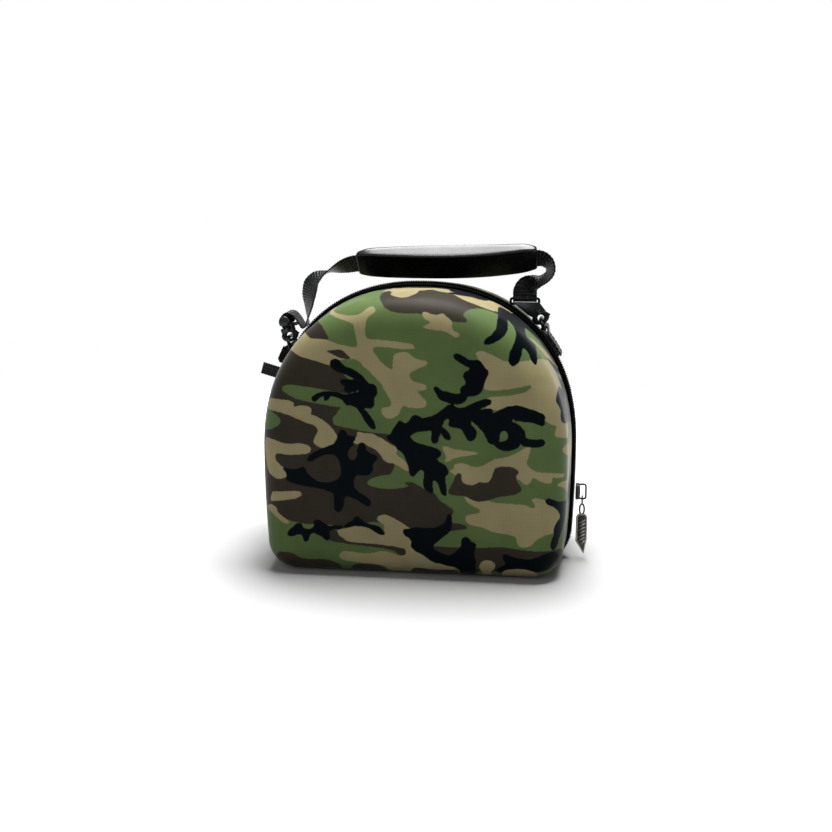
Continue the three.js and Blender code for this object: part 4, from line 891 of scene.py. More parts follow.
def smooth_path(stops, per_stop, closed=False, tension=None):
    """Curve through the stops: centripetal, or with a fixed tension, sampled between each pair."""
    stops = np.asarray(stops, float)
    count = len(stops)
    found = []
    for i in range(count if closed else count - 1):
        if closed:
            p0, p1, p2, p3 = (stops[(i + k) % count] for k in (-1, 0, 1, 2))
        else:
            p1, p2 = stops[i], stops[i + 1]
            p0 = stops[i - 1] if i else 2 * p1 - p2
            p3 = stops[i + 2] if i + 2 < count else 2 * p2 - p1
        if tension is None:
            pairs = ((p0, p1), (p1, p2), (p2, p3))
            g0, g1, g2 = (max(np.linalg.norm(b - a), 1e-6) ** 0.5 for a, b in pairs)
            d1 = ((p1 - p0) / g0 - (p2 - p0) / (g0 + g1) + (p2 - p1) / g1) * g1
            d2 = ((p2 - p1) / g1 - (p3 - p1) / (g1 + g2) + (p3 - p2) / g2) * g1
        else:
            d1, d2 = tension * (p2 - p0), tension * (p3 - p1)
        for t in np.arange(per_stop) / per_stop:
            found.append(
                (2 * t ** 3 - 3 * t ** 2 + 1) * p1 + (t ** 3 - 2 * t ** 2 + t) * d1
                + (3 * t ** 2 - 2 * t ** 3) * p2 + (t ** 3 - t ** 2) * d2
            )
    if not closed:
        found.append(stops[-1])
    return np.array(found)


print("webbing", WEB_WIDTH, "x", WEB_THICK, "mm, a rib every", RIB_MM, "mm")

# %% [markdown]
# On each shoulder a folded strip of webbing is sewn down beside the zip and holds a wire ring.
# The left one is a thick pad of several layers. The strip runs up the arch, round the ring's bar
# and back over itself, and is closed by two rows of stitches.

# %% Sewn anchors
PIPING_RISE, SEAM_GAP = 2.4, 0.3
ANCHOR_LIFT = PIPING_RISE + SEAM_GAP
RING_WIRE, RING_DEPTH, RING_HALF_SPAN = 3, 8.2, 11.5
EYE_PLAY, EYE_WALL, WRAP_TURN = 0.35, 1.6, math.radians(200)
EYE_INNER = RING_WIRE / 2 + EYE_PLAY
EYE_OUTER = EYE_INNER + EYE_WALL
HOOK_INNER, HOOK_LENGTH, HOOK_PLAY = 2.7, 12.4, 0.4
PLY_GAP, PLY_INSET, TAIL_BULGE = 0.1, 0.4, 0.6
STITCH_ENDS = ((-0.5, 0.3), (-0.36, 1), (0.36, 1), (0.5, 0.3))  # share of the length, size
STITCH_SIDES, STITCH_FLATNESS, STITCH_RADIUS = 6, 0.8, 0.32
ANCHOR_STITCH, TACK_STITCH = 2.6, 1.8
SEAM_HALF = 8  # seams lie this far from the middle of the webbing
SEAM_TRIM = (0.8, 1.4)  # degrees between the seam and the ends of the strip
SHOULDERS = {  # first and last are degrees above the spring line
    "left": {"side": -1, "first": 28.2, "last": 34.5, "thick": 9.5, "lean": (-0.31, 0.95), "stitches": 4},
    "right": {"side": 1, "first": 33.5, "last": 44, "thick": 3.4, "lean": (-0.42, 0.91), "stitches": 6},
}
FLAT_BAR = (84.5, 220.6)  # bar of the right hook, whose eye faces the front


def arch_at(degrees, side):
    """Outline point and normal at an angle above the spring line."""
    wanted = math.tan(math.radians(degrees))
    low, high = 0.0, math.pi / 2
    for _ in range(40):
        middle = (low + high) / 2
        x, z = arch(middle)[0]
        low, high = (middle, high) if (z - SPRING_HEIGHT) / x < wanted else (low, middle)
    at, normal = arch(low)
    return at * (side, 1), normal * (side, 1)


def stitch_rows(name, stops, length):
    """Short threads, each a (middle, along, off the cloth) triple."""
    points, faces = [], []
    for middle, along, off in stops:
        wide = np.cross(along, off)
        first = len(points)
        for share, size in STITCH_ENDS:
            for c, s in circle(STITCH_SIDES, STITCH_RADIUS * size):
                points.append(middle + along * share * length + off * c * STITCH_FLATNESS + wide * s)
        faces += skin(len(STITCH_ENDS), STITCH_SIDES, first=first)
    make_piece(name, points, faces, [thread], "back", "webbing")


def inner_layers(name, rows, low, high):
    """Plies between the outer layers of a thick anchor, as one piece."""
    count = int((high - low - WEB_THICK) / (WEB_THICK + PLY_GAP))
    plies = []
    for ply in range(1, count + 1):
        out = low + (high - low) * ply / (count + 1)
        path = in_zip_plane(*np.array([at + n * out for at, n in rows]).T, HARDWARE_Y)
        plies.append(flat_mesh(path, -Y_AXIS, WEB_WIDTH - PLY_INSET))
    if count:
        places = [place for ply in plies for place in ply[2]]
        ribbon(f"{name}_plies", (*together([ply[:2] for ply in plies]), places))


def anchor(name, shoulder):
    side = shoulder["side"]
    rows = [arch_at(a, side) for a in np.linspace(shoulder["first"], shoulder["last"], 9)]
    top, normal = rows[-1]
    eye = top + normal * (ANCHOR_LIFT + EYE_OUTER)
    low, high = ANCHOR_LIFT + WEB_THICK / 2, ANCHOR_LIFT + shoulder["thick"] - WEB_THICK / 2
    path = [at + n * low for at, n in rows[:-1]]
    base = math.atan2(-normal[1], -normal[0])
    path += list(eye + arc(base - side * np.linspace(0, WRAP_TURN, 14), (EYE_INNER + EYE_OUTER) / 2))
    path += [at + n * high for at, n in rows[-3:0:-1]]
    at, n = rows[0]
    run = unit(rows[1][0] - at)
    for share in (0.75, 0.5, 0.25):
        bulge = TAIL_BULGE * (1 - abs(2 * share - 1))
        path.append(at - run * bulge + n * (low + WEB_THICK + (high - low - WEB_THICK) * share))
    path = smooth_path(in_zip_plane(*np.array(path).T, HARDWARE_Y), 4)
    ribbon(f"{name}_web", flat_mesh(path, -Y_AXIS, WEB_WIDTH), name)
    inner_layers(name, rows[:-2], low, high)
    stitches = []
    seam = shoulder["first"] + SEAM_TRIM[0], shoulder["last"] - SEAM_TRIM[1]
    for angle in np.linspace(*seam, shoulder["stitches"]):
        at, n = arch_at(angle, side)
        along = in_zip_plane(-n[1], n[0])
        for y in (HARDWARE_Y - SEAM_HALF, HARDWARE_Y + SEAM_HALF):
            stitches.append((in_zip_plane(*(at + n * (high + WEB_THICK / 2)), y), along, in_zip_plane(*n)))
    stitch_rows(f"{name}_stitches", stitches, ANCHOR_STITCH)
    return in_zip_plane(*eye, HARDWARE_Y)


for name, shoulder in SHOULDERS.items():
    shoulder["eye"] = anchor(f"anchor_{name}", shoulder)
    shoulder["lean"] = in_zip_plane(*unit(shoulder["lean"]))
    reach = RING_DEPTH + HOOK_INNER - RING_WIRE / 2 - HOOK_PLAY
    shoulder["hook"] = shoulder["eye"] + shoulder["lean"] * reach
    shoulder["bar"] = shoulder["hook"] + shoulder["lean"] * HOOK_LENGTH
    if name == "right":
        shoulder["bar"] = in_zip_plane(*FLAT_BAR, HARDWARE_Y)
    print(name, "bar at", np.round(shoulder["bar"], 1))

# %% [markdown]
# Rings, hooks, slider and pull are castings and bent wire, and a few shapes make them all. A tube
# follows a path in one plane, so the direction square to that plane gives every section its
# place. A slab is a plate with eased edges, because cast metal shows a bright line along them.

# %% Wire, plates and turned shapes
BEVEL_EASE = 0.3  # a bevel is cut in two steps, and this is where they meet


def tube(path, across, radius, sides=12, closed=True, depth=None):
    """Points and faces of a round or flattened wire; depth is its half-size along across."""
    path = np.asarray(path, float)
    out = unit(np.cross(directions(path, closed), across))
    ring = arc(2 * math.pi * (np.arange(sides) + 0.5) / sides) * (radius, depth or radius)
    points = np.concatenate([p + ring @ (o, across) for p, o in zip(path, out)])
    return points, skin(len(path), sides, closed_rows=closed)


def lathe(middle, axis, profile, sides=20):
    """Turned solid: profile rows are (distance along the axis, radius)."""
    u = unit(np.cross(axis, Y_AXIS))
    ring = circle(sides) @ (u, np.cross(axis, u))
    points = np.concatenate([middle + axis * out + ring * radius for out, radius in profile])
    return points, skin(len(profile), sides)


def rounded_rectangle(width, height, radius, per_corner=6):
    found = []
    for sx, sy, start in ((1, -1, -90), (1, 1, 0), (-1, 1, 90), (-1, -1, 180)):
        middle = (sx * (width / 2 - radius), sy * (height / 2 - radius))
        found.append(middle + arc(np.radians(np.linspace(start, start + 90, per_corner)), radius))
    return np.concatenate(found)


def slab(shape, depth, origin, u, v, bevel):
    """A plate with eased edges, from a convex outline in its own (u, v)."""
    away = unit(shape - shape.mean(axis=0))
    w = np.cross(u, v)
    base, ease = -depth / 2, BEVEL_EASE * bevel
    rows = [(base, bevel), (base + ease, ease), (base + bevel, 0)]
    rows += [(-high, inset) for high, inset in rows[::-1]]
    points = np.concatenate([origin + (shape - away * inset) @ (u, v) + w * high for high, inset in rows])
    return points, skin(len(rows), len(shape))


def curve3(a, b, c, steps=8):
    """Curve from a towards b and round to c, without its last point."""
    t = np.linspace(0, 1, steps, endpoint=False)[:, None]
    return (1 - t) ** 2 * a + 2 * t * (1 - t) * b + t ** 2 * c


def eased(shape, radius, steps=5):
    """Rounds each corner of an outline."""
    found = []
    for a, b, c in zip(np.roll(shape, 1, axis=0), shape, np.roll(shape, -1, axis=0)):
        found.append(curve3(b + unit(a - b) * radius, b, b + unit(c - b) * radius, steps))
    return np.concatenate(found)


points, faces = slab(rounded_rectangle(10, 4, 1), 2, np.zeros(3), X_AXIS, Z_AXIS, 0.5)
print("a plate of 10 x 4 x 2 mm has", len(faces), "faces")

# %% [markdown]
# A wire ring sits in each anchor, and a hook joins it to the strap. A hook is an oval with a hole
# for the ring, a body plate, a turned swivel and a wide eye for the webbing, cast as one. The
# two eyes are turned differently, so one function builds both hooks from the same parts.

# %% D-rings and snap hooks
HOOK_HALF_WIDTH, HOOK_HALF_HEIGHT, HOOK_HALF_DEPTH, HOOK_BAR = 7.6, 5.6, 1.9, 2.2
BOXINESS = 0.6  # 1 would make the oval's section round, 0 square
RING_CORNER, RING_BULGE, RING_TOP, RING_TENSION = 0.55 * RING_DEPTH, 0.6, 0.62 * RING_HALF_SPAN, 0.35
EYE_FRAME, EYE_ROUND, EYE_HALF_DEPTH = (23.8, 4.5), 1.5, 1.3
BODY_BOTTOM, BODY_TOP, BODY_HALF_WIDTH = HOOK_INNER + 0.4, 7.4, 6.4
BODY_ROUND, BODY_BEVEL = 1.4, 0.7
FLAT_BODY = [(12, 3.1), (-10.6, 3.1), (2.5, 13.6)]  # body below the flat bar: x, drop
BOSS, BOSS_RADIUS, BOSS_Y, BOSS_BEVEL = (1.6, 1.8), 4.4, 11.9, 0.6  # ends of the left hook's bar
NECK = [  # swivel: distance along the hook, radius
    (3.6, 1.6), (4.2, 2.7), (5.2, 2.9), (5.4, 2.2), (5.7, 2.2), (5.9, 3.3), (6.9, 3.4), (7.6, 2.6),
    (8.1, 1.2),
]
LEVER = [(6.6, 1.5), (7.4, 0.4), (8.2, -0.7)]  # thumb lever: sideways, along the hook
LEVER_RADIUS, LEVER_HALF_DEPTH = 0.7, 1.2


def boxy(share):
    return math.copysign(abs(share) ** BOXINESS, share)


def oval_body(middle, u, v, w, steps=48, sides=16):
    """Cast oval with a round hole through it along w, its edges well rounded."""
    points = []
    for c, s in circle(steps):
        edge = 1 / math.hypot(c / HOOK_HALF_WIDTH, s / HOOK_HALF_HEIGHT)
        for a, b in circle(sides):
            out = (edge + HOOK_INNER) / 2 + (edge - HOOK_INNER) / 2 * boxy(a)
            points.append(middle + (u * c + v * s) * out + w * HOOK_HALF_DEPTH * boxy(b))
    return np.array(points), skin(steps, sides, closed_rows=True)


def ring_wire(eye, lean):
    half = [(RING_HALF_SPAN, 0), (RING_HALF_SPAN + RING_BULGE, RING_CORNER), (RING_TOP, RING_DEPTH)]
    stops = [(0, 0), *half, (0, RING_DEPTH), *((-y, out) for y, out in half[::-1])]
    stops = stops[-1:] + stops[:-1]
    route = smooth_path(
        [eye + lean * out + Y_AXIS * y for y, out in stops], 8, closed=True, tension=RING_TENSION,
    )
    return tube(route, np.cross(lean, Y_AXIS), RING_WIRE / 2, 14)


def hook_casting(hook, bar, lean, flat):
    """All of one hook; a flat one has an eye that faces the front, the other one faces the side."""
    sideways = np.cross(Y_AXIS, lean)
    wide, tall, square_on = (X_AXIS, Z_AXIS, Y_AXIS) if flat else (Y_AXIS, lean, sideways)
    frame_path = bar + (rounded_rectangle(*EYE_FRAME, EYE_ROUND) - (0, EYE_FRAME[1] / 2)) @ (wide, tall)
    plate = [hook + lean * BODY_BOTTOM + sideways * s for s in (-BODY_HALF_WIDTH, BODY_HALF_WIDTH)]
    if flat:
        plate += [bar + X_AXIS * x - Z_AXIS * drop for x, drop in FLAT_BODY]
    else:
        plate += [hook + lean * BODY_TOP + sideways * s for s in (BODY_HALF_WIDTH, -BODY_HALF_WIDTH)]
    plate = eased(np.array(plate)[:, [0, 2]], BODY_ROUND)
    parts = [
        oval_body(hook, sideways, lean, Y_AXIS),
        slab(plate, 2 * HOOK_HALF_DEPTH, Y_AXIS * HARDWARE_Y, X_AXIS, Z_AXIS, BODY_BEVEL),
        lathe(hook, lean, NECK),
        tube(frame_path, square_on, HOOK_BAR / 2, depth=EYE_HALF_DEPTH),
        tube(hook + LEVER @ np.array((sideways, lean)), Y_AXIS, LEVER_RADIUS, 10, False, LEVER_HALF_DEPTH),
    ]
    if not flat:
        for y in (-BOSS_Y, BOSS_Y):
            place = bar + in_zip_plane(*BOSS, y)
            parts.append(slab(circle(32, BOSS_RADIUS), HOOK_BAR, place, X_AXIS, Z_AXIS, BOSS_BEVEL))
    return together(parts)


for name, shoulder in SHOULDERS.items():
    lean, eye, hook, bar = (shoulder[k] for k in ("lean", "eye", "hook", "bar"))
    points, faces = ring_wire(eye, lean)
    make_piece(f"d_ring_{name}_wire", points, faces, [black_nickel], "back", "black_metal", f"d_ring_{name}")
    points, faces = hook_casting(hook, bar, lean, name == "right")
    make_piece(f"hook_{name}", points, faces, [black_nickel], "back", "black_metal", f"snap_hook_{name}")
    print(name, "hook:", len(faces), "faces")

# %% [markdown]
# The strap is one webbing. It doubles round the left hook's bar, stands up, turns over, runs
# through the grip, falls round its right end and doubles back round the right hook. The route is
# a short table of places, each with the turn of the webbing about its own run.

# %% Strap
left_bar = SHOULDERS["left"]["bar"][[0, 2]]
STRAP_TABLE = [  # x, y, z, twist in degrees; 0 is edge-on to the front, -90 faces it
    *[(left_bar[0] + x, HARDWARE_Y, left_bar[1] + z, turn) for x, z, turn in (
        (12.1, -1.1, 0), (6.2, -1.9, 0), (1.2, -2.6, 0), (-2, -2.1, 0), (-3, 0.7, 0), (-1.7, 4.4, 0),
        (2.2, 8.3, 0), (7, 8.1, 0), (11.2, 4, 0), (14.6, -1.3, 0), (16.8, -4, 0), (19, -2.6, 3),
        (19.4, 2.2, 10),
    )],
    (-101.4, 15, 211.5, 32), (-101, 15, 220.5, 46), (-99, 14.5, 229, 50), (-94.8, 14, 234.6, 38),
    (-88.5, 13.5, 238.2, 15), (-82.5, 13, 240.8, -5), (-76, 13, 243.2, -22), (-70, 13, 245.4, -36),
    (-64, 13, 247.3, -44), (-57.5, 13, 248.5, -47), (-30, 13, 248.2, -47), (0, 13, 248.2, -47),
    (30, 13, 248.8, -47), (54, 13, 250.2, -47), (76, 13, 252.5, -47), (94, 13, 254.6, -47),
    (99.5, 13, 253.6, -42), (103.6, 13, 250.2, -34), (105.3, 13, 245.4, -25), (103.6, 13.5, 240, -18),
    (97.4, 14, 235.6, -20), (90.6, 14, 233.4, -40), (86.2, 14, 230.6, -64), (84.6, 13.8, 226.8, -86),
    (FLAT_BAR[0], 13.7, FLAT_BAR[1] + 3.4, -90),
]
PER_STOP = 10
TACK_STOPS = (0.6, 1.4, 7.0, 7.5)  # bar tacks at the left end, counted in stops of the table
TACK_RISE, TACK_ACROSS = 0.72, np.linspace(-SEAM_HALF, SEAM_HALF, 9)
END_RISES = (7.4, 5.5, 3.6)  # heights on the folded right end, above its bar
END_TACKS = (4.2, 6.6)
END_LAYER, END_WRAP = WEB_THICK / 2 + 0.05, HOOK_BAR * 0.75 + WEB_THICK / 2


def strap_frames():
    """Path of the strap, with the directions across it and through it."""
    stops = np.array(STRAP_TABLE, float)
    path = smooth_path(stops[:, :3], PER_STOP)
    twist = np.radians(np.interp(np.arange(len(path)) / PER_STOP, np.arange(len(stops)), stops[:, 3]))
    runs = directions(path)
    level = unit(np.stack([runs[:, 2], np.zeros(len(path)), -runs[:, 0]], axis=1))
    across = level * np.sin(twist)[:, None] - Y_AXIS * np.cos(twist)[:, None]
    across = unit(across - runs * np.sum(across * runs, axis=1, keepdims=True))
    return path, across, np.cross(across, runs)


strap_path, strap_across, strap_thick = strap_frames()
ribbon("carry_strap", ribbon_mesh(strap_path, strap_across, strap_thick, WEB_WIDTH), "strap")
bar_tacks = []
for stop in TACK_STOPS:
    k = int(stop * PER_STOP)
    rise = strap_thick[k] * math.copysign(TACK_RISE, strap_thick[k][2])
    for wide in TACK_ACROSS:
        bar_tacks.append((strap_path[k] + strap_across[k] * wide + rise, strap_across[k], strap_thick[k]))
turn = math.acos(END_LAYER / END_WRAP)
fold = np.concatenate([
    [(-END_LAYER, z) for z in END_RISES],
    arc(np.linspace(math.pi - turn, 2 * math.pi + turn, 24), END_WRAP),
    [(END_LAYER, z) for z in END_RISES[::-1]],
])
end_path = SHOULDERS["right"]["bar"] + fold @ (Y_AXIS, Z_AXIS)
ribbon("strap_end", flat_mesh(end_path, X_AXIS, WEB_WIDTH))
for rise in END_TACKS:
    for wide in TACK_ACROSS:
        place = end_path[0] + Z_AXIS * (rise - END_RISES[0]) + X_AXIS * wide - Y_AXIS * WEB_THICK / 2
        bar_tacks.append((place, X_AXIS, -Y_AXIS))
stitch_rows("strap_stitches", bar_tacks, TACK_STITCH)
print("strap length", round(float(run_length(strap_path)[-1])), "mm")

# %% [markdown]
# The grip is a moulded sleeve with a flat palm side and a crowned front, thinner towards its
# ends. Its rounded lips show the wall where the strap goes in. Sections follow the strap inside.

# %% Moulded grip
GRIP_TILT, GRIP_ENDS_X = math.radians(43), (-57.5, 94)
GRIP_HALF, GRIP_END_HALF, GRIP_DEPTH, GRIP_END_DEPTH = 15.5, 11.6, 15, 5.2
SWELL_POWER, SWELL_FROM = 0.22, 0.03
GRIP_STEPS, END_ROUND, END_FLAT = 72, 13, 0.55
EDGE_SHARE, CROWN_POWER = 0.1, 0.75
UPPER_DIP = 3  # the upper edge is lowest in the middle
UPPER_WALL, WALL_RISE, WALL_POWER, WALL_LIMIT = 2.6, 10, 0.9, 0.85
SLOT_SIZE, SLOT_OUT, SLOT_HALF = np.array((21.4, 2.6)), 2.9, 10.9


def grip_section(half, upper, depth, wall, pinch):
    """Flat palm side, an upright wall on the upper edge and a crown over the rest, placed about
    the slot. pinch draws both edges in towards the slot where the ends are rounded."""
    edge, inner = EDGE_SHARE * half, 1 - EDGE_SHARE
    quarter = np.linspace(0, math.pi / 2, 5)
    palm = [((upper if s > 0 else half) * inner * s, 0) for s in np.linspace(-1, 1, 12)]
    lip = [(upper * (inner + EDGE_SHARE * math.sin(t)), edge * (1 - math.cos(t))) for t in quarter[1:]]
    side = [(upper, edge + (wall - edge) * s) for s in (0.25, 0.5, 0.75)]
    crown = []
    for t in np.linspace(0, math.pi, 25):
        reach, base = (upper, wall) if math.cos(t) > 0 else (half, edge)
        crown.append((reach * math.cos(t), base + (depth - base) * math.sin(t) ** CROWN_POWER))
    back = [(-half * inner - edge * math.cos(t), edge * (1 - math.sin(t))) for t in quarter[1:-1]]
    section = np.array(palm + lip + side + crown + back) - (0, SLOT_OUT)
    keep = SLOT_HALF / half
    return section * (keep + (1 - keep) * pinch, END_FLAT + (1 - END_FLAT) * pinch)


def grip_slot(section):
    """The strap's slot, with one point for each point of the outer section."""
    aims = section / (SLOT_SIZE / 2)
    return aims / np.abs(aims).max(axis=1, keepdims=True) * SLOT_SIZE / 2


grip_first, grip_last = ([row[0] for row in STRAP_TABLE].index(x) * PER_STOP for x in GRIP_ENDS_X)
up = np.array((0, -math.sin(GRIP_TILT), math.cos(GRIP_TILT)))
out_of_palm = np.array((0, math.cos(GRIP_TILT), math.sin(GRIP_TILT)))
middle_line = strap_path[grip_first:grip_last + 1]
grip_mm = run_length(middle_line)
outer_rows, inner_rows = [], []
for mm in grip_mm[-1] * (1 - np.cos(np.linspace(0, math.pi, GRIP_STEPS))) / 2:
    at = np.array([np.interp(mm, grip_mm, middle_line[:, i]) for i in range(3)])
    share = mm / grip_mm[-1]
    swell = math.sin(math.pi * min(max(share, SWELL_FROM), 1 - SWELL_FROM)) ** SWELL_POWER
    half = GRIP_END_HALF + (GRIP_HALF - GRIP_END_HALF) * swell
    depth = GRIP_END_DEPTH + (GRIP_DEPTH - GRIP_END_DEPTH) * swell
    dip = math.sin(math.pi * share)
    wall = min(UPPER_WALL + WALL_RISE * dip ** WALL_POWER, WALL_LIMIT * depth)
    from_end = min(mm, grip_mm[-1] - mm, END_ROUND) / END_ROUND
    section = grip_section(half, half - UPPER_DIP * dip, depth, wall, math.sqrt(1 - (1 - from_end) ** 2))
    outer_rows.append(at + section @ (up, out_of_palm))
    inner_rows.append(at + grip_slot(section) @ (up, out_of_palm))
points = np.concatenate(outer_rows + inner_rows[::-1])
faces = skin(2 * GRIP_STEPS, len(outer_rows[0]), closed_rows=True)
make_piece("grip_sleeve", points, faces, [grip_pvc], "back", "moulded_grip", "grip")
print("grip length", round(float(grip_mm[-1])), "mm")

# %% [markdown]
# A short folded tab of narrow webbing is sewn in behind the zip on the left, to hold while
# zipping. Like the strap it is one ribbon, which turns at its tip and comes back behind itself.

# %% Side tab
TAB = {"length": 22.5, "width": 10, "thick": 3, "z": 151, "rise": 16, "reach": 120.2}
TAB_START, TAB_LAYER, TAB_STRAIGHT = 1.5, WEB_THICK / 2 + 0.02, 8
TAB_SEAM, TAB_SEAM_HALF, TAB_SEAM_RISE = 5, 3.6, TAB["thick"] / 2 + 0.05
foot, _ = arch_at(math.degrees(math.atan2(TAB["z"] - SPRING_HEIGHT, TAB["reach"])), -1)
tab_out = in_zip_plane(*unit((-1, math.tan(math.radians(TAB["rise"])))))
tab_wide = np.cross(tab_out, Y_AXIS)
tab_start = in_zip_plane(*foot, RIM_Y + SEAM_GAP + TAB["thick"] / 2) + tab_out * TAB_START
tip = TAB["length"] - TAB["thick"] / 2
straight = np.linspace(0, tip - 1, TAB_STRAIGHT)
fold = np.concatenate([
    [(s, -TAB_LAYER) for s in straight],
    (tip, 0) + arc(np.linspace(-math.pi / 2, math.pi / 2, 12), TAB_LAYER),
    [(s, TAB_LAYER) for s in straight[::-1]],
])
tab_path = tab_start + fold @ (tab_out, Y_AXIS)
ribbon("side_tab_web", flat_mesh(tab_path, tab_wide, TAB["width"]), "side_tab")
stitch_rows("side_tab_stitches", [
    (tab_start + tab_out * TAB_SEAM + tab_wide * w + Y_AXIS * y, tab_wide, Y_AXIS)
    for w in np.linspace(-TAB_SEAM_HALF, TAB_SEAM_HALF, 4) for y in (-TAB_SEAM_RISE, TAB_SEAM_RISE)
], TACK_STITCH)
print("side tab", round(float(run_length(tab_path)[-1])), "mm of webbing")

# %% [markdown]
# The slider hugs the teeth on the right, and its upright bail carries a long pierced tag. The tag's
# border is raised on both faces, and slanted ribs fill it to give the fingers something to hold.

# %% Zip slider and pull
SLIDER_X, SLIDER_Z, PULL_X = 131, 59, 136.6
TAIL, WAIST, CHEEK, NOSE = np.array([(3.2, -6.5), (4, 0), (4.6, 6), (0, 8.2)])  # half outline: y, z
MIRROR = (-1, 1)
slider_shape = np.concatenate([
    [TAIL * MIRROR], curve3(TAIL, WAIST, CHEEK), curve3(CHEEK, NOSE, CHEEK * MIRROR),
    curve3(CHEEK * MIRROR, WAIST * MIRROR, TAIL * MIRROR),
])
SLIDER = {"out": 1.4, "depth": 3.2, "bevel": 0.7}
ROOT = {"size": (3, 8, 0.9), "out": 3.1, "depth": 1.4, "bevel": 0.4}  # block that carries the bail
BAIL_WIDTH, BAIL_HEIGHT, BAIL_ROUND, BAIL_WIRE, BAIL_PLAY = 7.6, 14.2, 1.9, 1.6, 0.7
bail = rounded_rectangle(BAIL_WIDTH - BAIL_WIRE, BAIL_HEIGHT - BAIL_WIRE, BAIL_ROUND)
points, faces = together([
    slab(shape, part["depth"], in_zip_plane(SLIDER_X + part["out"], SLIDER_Z), Y_AXIS, Z_AXIS, part["bevel"])
    for shape, part in ((slider_shape, SLIDER), (rounded_rectangle(*ROOT["size"]), ROOT))
] + [tube(in_zip_plane(PULL_X, SLIDER_Z) + bail @ (X_AXIS, Z_AXIS), Y_AXIS, BAIL_WIRE / 2)])
make_piece("slider", points, faces, [black_nickel], "back", "black_metal", "zip_slider")

TAG = np.array([  # x, z from the pull's axis
    (-4.8, -15.5), (-4.8, -37), (2.4, -48), (4.8, -34.5), (4.8, -15.5), (2.9, -12.6), (-2.9, -12.6),
])
TAG_ROUND, TAG_DEPTH, TAG_BEVEL = 1.0, 1.3, 0.4
BORDER_SHARE, BORDER_RADIUS, BORDER_HALF_DEPTH = (0.84, 0.95), 0.7, 1.1
RIB_FROM, RIB_TO, RIB_PITCH, RIB_SLANT, RIB_INSET = -40, -19, 3.1, 3.6, 1.5
TAG_RIB_Y, TAG_RIB_RADIUS, TAG_RIB_DEPTH = 0.62, 0.5, 0.4
LOOP_STEPS = 28
EYE_LOOP = {"size": (2.9, 2.9), "drop": 0, "radius": 0.8, "depth": 0.7}
LINK_LOOP = {"size": (1.95, 4.6), "drop": 8.6, "radius": 0.75, "depth": 1.0}
pull_at = in_zip_plane(PULL_X, SLIDER_Z - BAIL_HEIGHT / 2 + BAIL_WIRE / 2 - BAIL_PLAY)


def tag_width(z):
    """Left and right edge of the tag at a height, by walking round its outline."""
    found = []
    for a, b in zip(TAG, np.roll(TAG, -1, axis=0)):
        if (a[1] - z) * (b[1] - z) < 0:
            found.append(a[0] + (b[0] - a[0]) * (z - a[1]) / (b[1] - a[1]))
    return min(found), max(found)


def wire_loop(loop, u, w):
    """An upright ring of wire whose width lies along u and its axis along w."""
    path = pull_at - Z_AXIS * loop["drop"] + (circle(LOOP_STEPS) * loop["size"]) @ (u, Z_AXIS)
    return tube(path, w, loop["radius"], depth=loop["depth"])


tag_shape = eased(TAG, TAG_ROUND)
tag_middle = tag_shape.mean(axis=0)
border = pull_at + (tag_middle + (tag_shape - tag_middle) * BORDER_SHARE) @ (X_AXIS, Z_AXIS)
raised = [tube(border, Y_AXIS, BORDER_RADIUS, 10, depth=BORDER_HALF_DEPTH)]
for low in np.arange(RIB_FROM, RIB_TO, RIB_PITCH):
    high = low + RIB_SLANT
    ends = np.array([(tag_width(low)[0] + RIB_INSET, low), (tag_width(high)[1] - RIB_INSET, high)])
    line = pull_at + np.array([ends[0], ends.mean(axis=0), ends[1]]) @ (X_AXIS, Z_AXIS)
    for y in (-TAG_RIB_Y, TAG_RIB_Y):
        raised.append(tube(line + Y_AXIS * y, Y_AXIS, TAG_RIB_RADIUS, 8, False, TAG_RIB_DEPTH))
points, faces = together([
    wire_loop(EYE_LOOP, Y_AXIS, X_AXIS),
    wire_loop(LINK_LOOP, X_AXIS, Y_AXIS),
    slab(tag_shape, TAG_DEPTH, pull_at, X_AXIS, Z_AXIS, TAG_BEVEL),
])
make_piece("pull_tag", points, faces, [gunmetal], "pull", "gunmetal", "zip_pull")
make_piece("pull_ribs", *together(raised), [bright_gunmetal], "pull", "gunmetal")
print("pull reaches down to", round(float(points[:, 2].min()), 1), "mm")

# %% [markdown]
# A pale floor and soft light let the print show its own colours. Away from the case the floor glows
# white by emission, a painted glow. The main light is a broad box overhead, so the top of the arch
# and the grip shine while the face stays in softer light.

# %% Floor and light
FLOOR_RADIUS, FLOOR_SIDES = 0.8, 96
FLOOR_GLOW_SPAN = (0.14, 0.5)  # distances between which the floor's painted glow rises, turning it plain white
SKY_HEIGHTS, SKY_TOP = (0.16, 0.4), 0.2  # white below, darker above: sines, brightness at the top
ROOM_SIDES, ROOM_FRONT = (-0.1, 0.4), 0.3  # the side behind the camera is darker
LAMPS = {
    "overhead": {"at": (0.05, 0.14, 1.1), "aim": (0, 0.1, 0.15), "size": (0.8, 0.5), "watts": 34},
    "front_fill": {"at": (-0.4, -1.3, 0.9), "aim": (0, 0, 0.12), "size": (0.9, 0.9), "watts": 4.1},
}

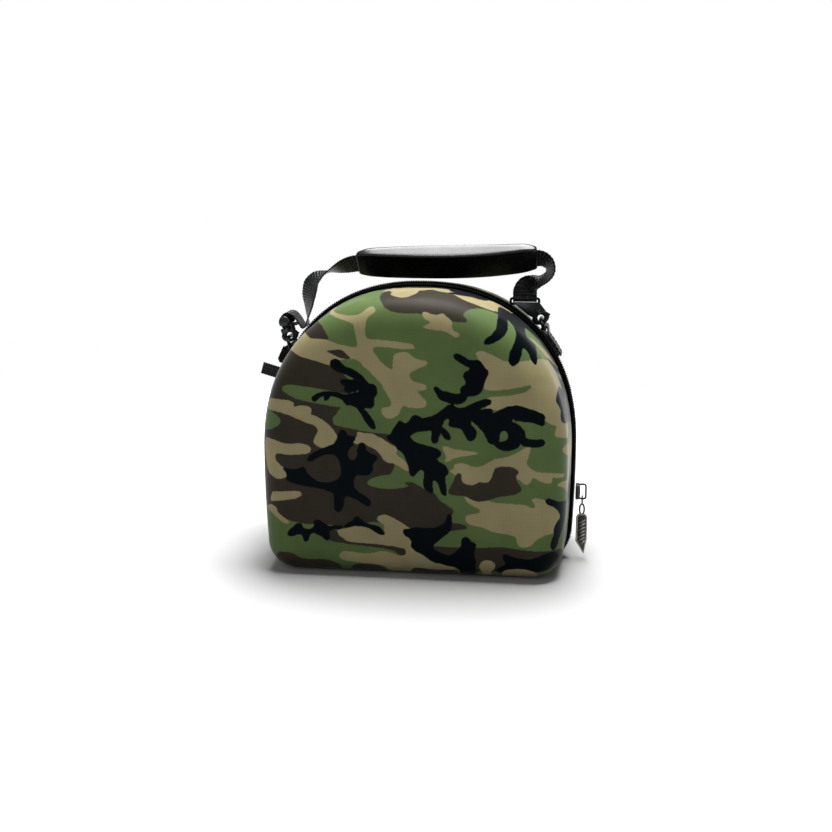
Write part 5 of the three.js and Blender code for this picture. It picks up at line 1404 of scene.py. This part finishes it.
# pale and dull, so that it only takes the soft shadow and gives no second picture of the case
glowing_floor_paint, tree, shader = finish("matt pale floor", "#b4b4b4", 0.9, Specular_IOR_Level=0.1)
here = add(tree, "TexCoord").outputs["Object"]
away = add(tree, "VectorMath", {0: here}, operation="LENGTH").outputs["Value"]
fade = {"Value": away, "From Min": FLOOR_GLOW_SPAN[0], "From Max": FLOOR_GLOW_SPAN[1]}
# painted glow, rising with the distance from the case
white = add(tree, "MapRange", fade, interpolation_type="SMOOTHSTEP").outputs["Result"]
plug(tree, shader, "Emission Strength", white)
bpy.ops.mesh.primitive_circle_add(vertices=FLOOR_SIDES, radius=FLOOR_RADIUS, fill_type="NGON")
floor = bpy.context.object
floor.name = "floor"
floor.data.materials.append(glowing_floor_paint)

world = bpy.data.worlds.new("studio")
bpy.context.scene.world = world
world.use_nodes = True
tree = world.node_tree
aim = add(tree, "TexCoord").outputs["Generated"]
aim = add(tree, "SeparateXYZ", {0: aim}).outputs
by_height, by_side = (
    add(
        tree, "MapRange",
        {"Value": aim[axis], "From Min": low, "From Max": high, "To Min": first, "To Max": last},
        interpolation_type="SMOOTHSTEP",
    ).outputs["Result"]
    for axis, (low, high), first, last in (("Z", SKY_HEIGHTS, 1, SKY_TOP), ("Y", ROOM_SIDES, ROOM_FRONT, 1))
)
glow = add(tree, "Math", {0: by_height, 1: by_side}, operation="MULTIPLY").outputs[0]
tree.nodes["Background"].inputs["Color"].default_value = linear("#ffffff")
plug(tree, tree.nodes["Background"], "Strength", glow)

for name, lamp in LAMPS.items():
    light = bpy.data.lights.new(name, "AREA")
    light.shape = "RECTANGLE"
    light.size, light.size_y = lamp["size"]
    light.energy = lamp["watts"]
    holder = bpy.data.objects.new(name, light)
    bpy.context.scene.collection.objects.link(holder)
    holder.location = lamp["at"]
    holder.rotation_euler = (Vector(lamp["aim"]) - holder.location).to_track_quat("-Z", "Y").to_euler()
    print(name, "lamp:", lamp["watts"], "W")
bpy.context.scene.view_settings.view_transform = "Standard"
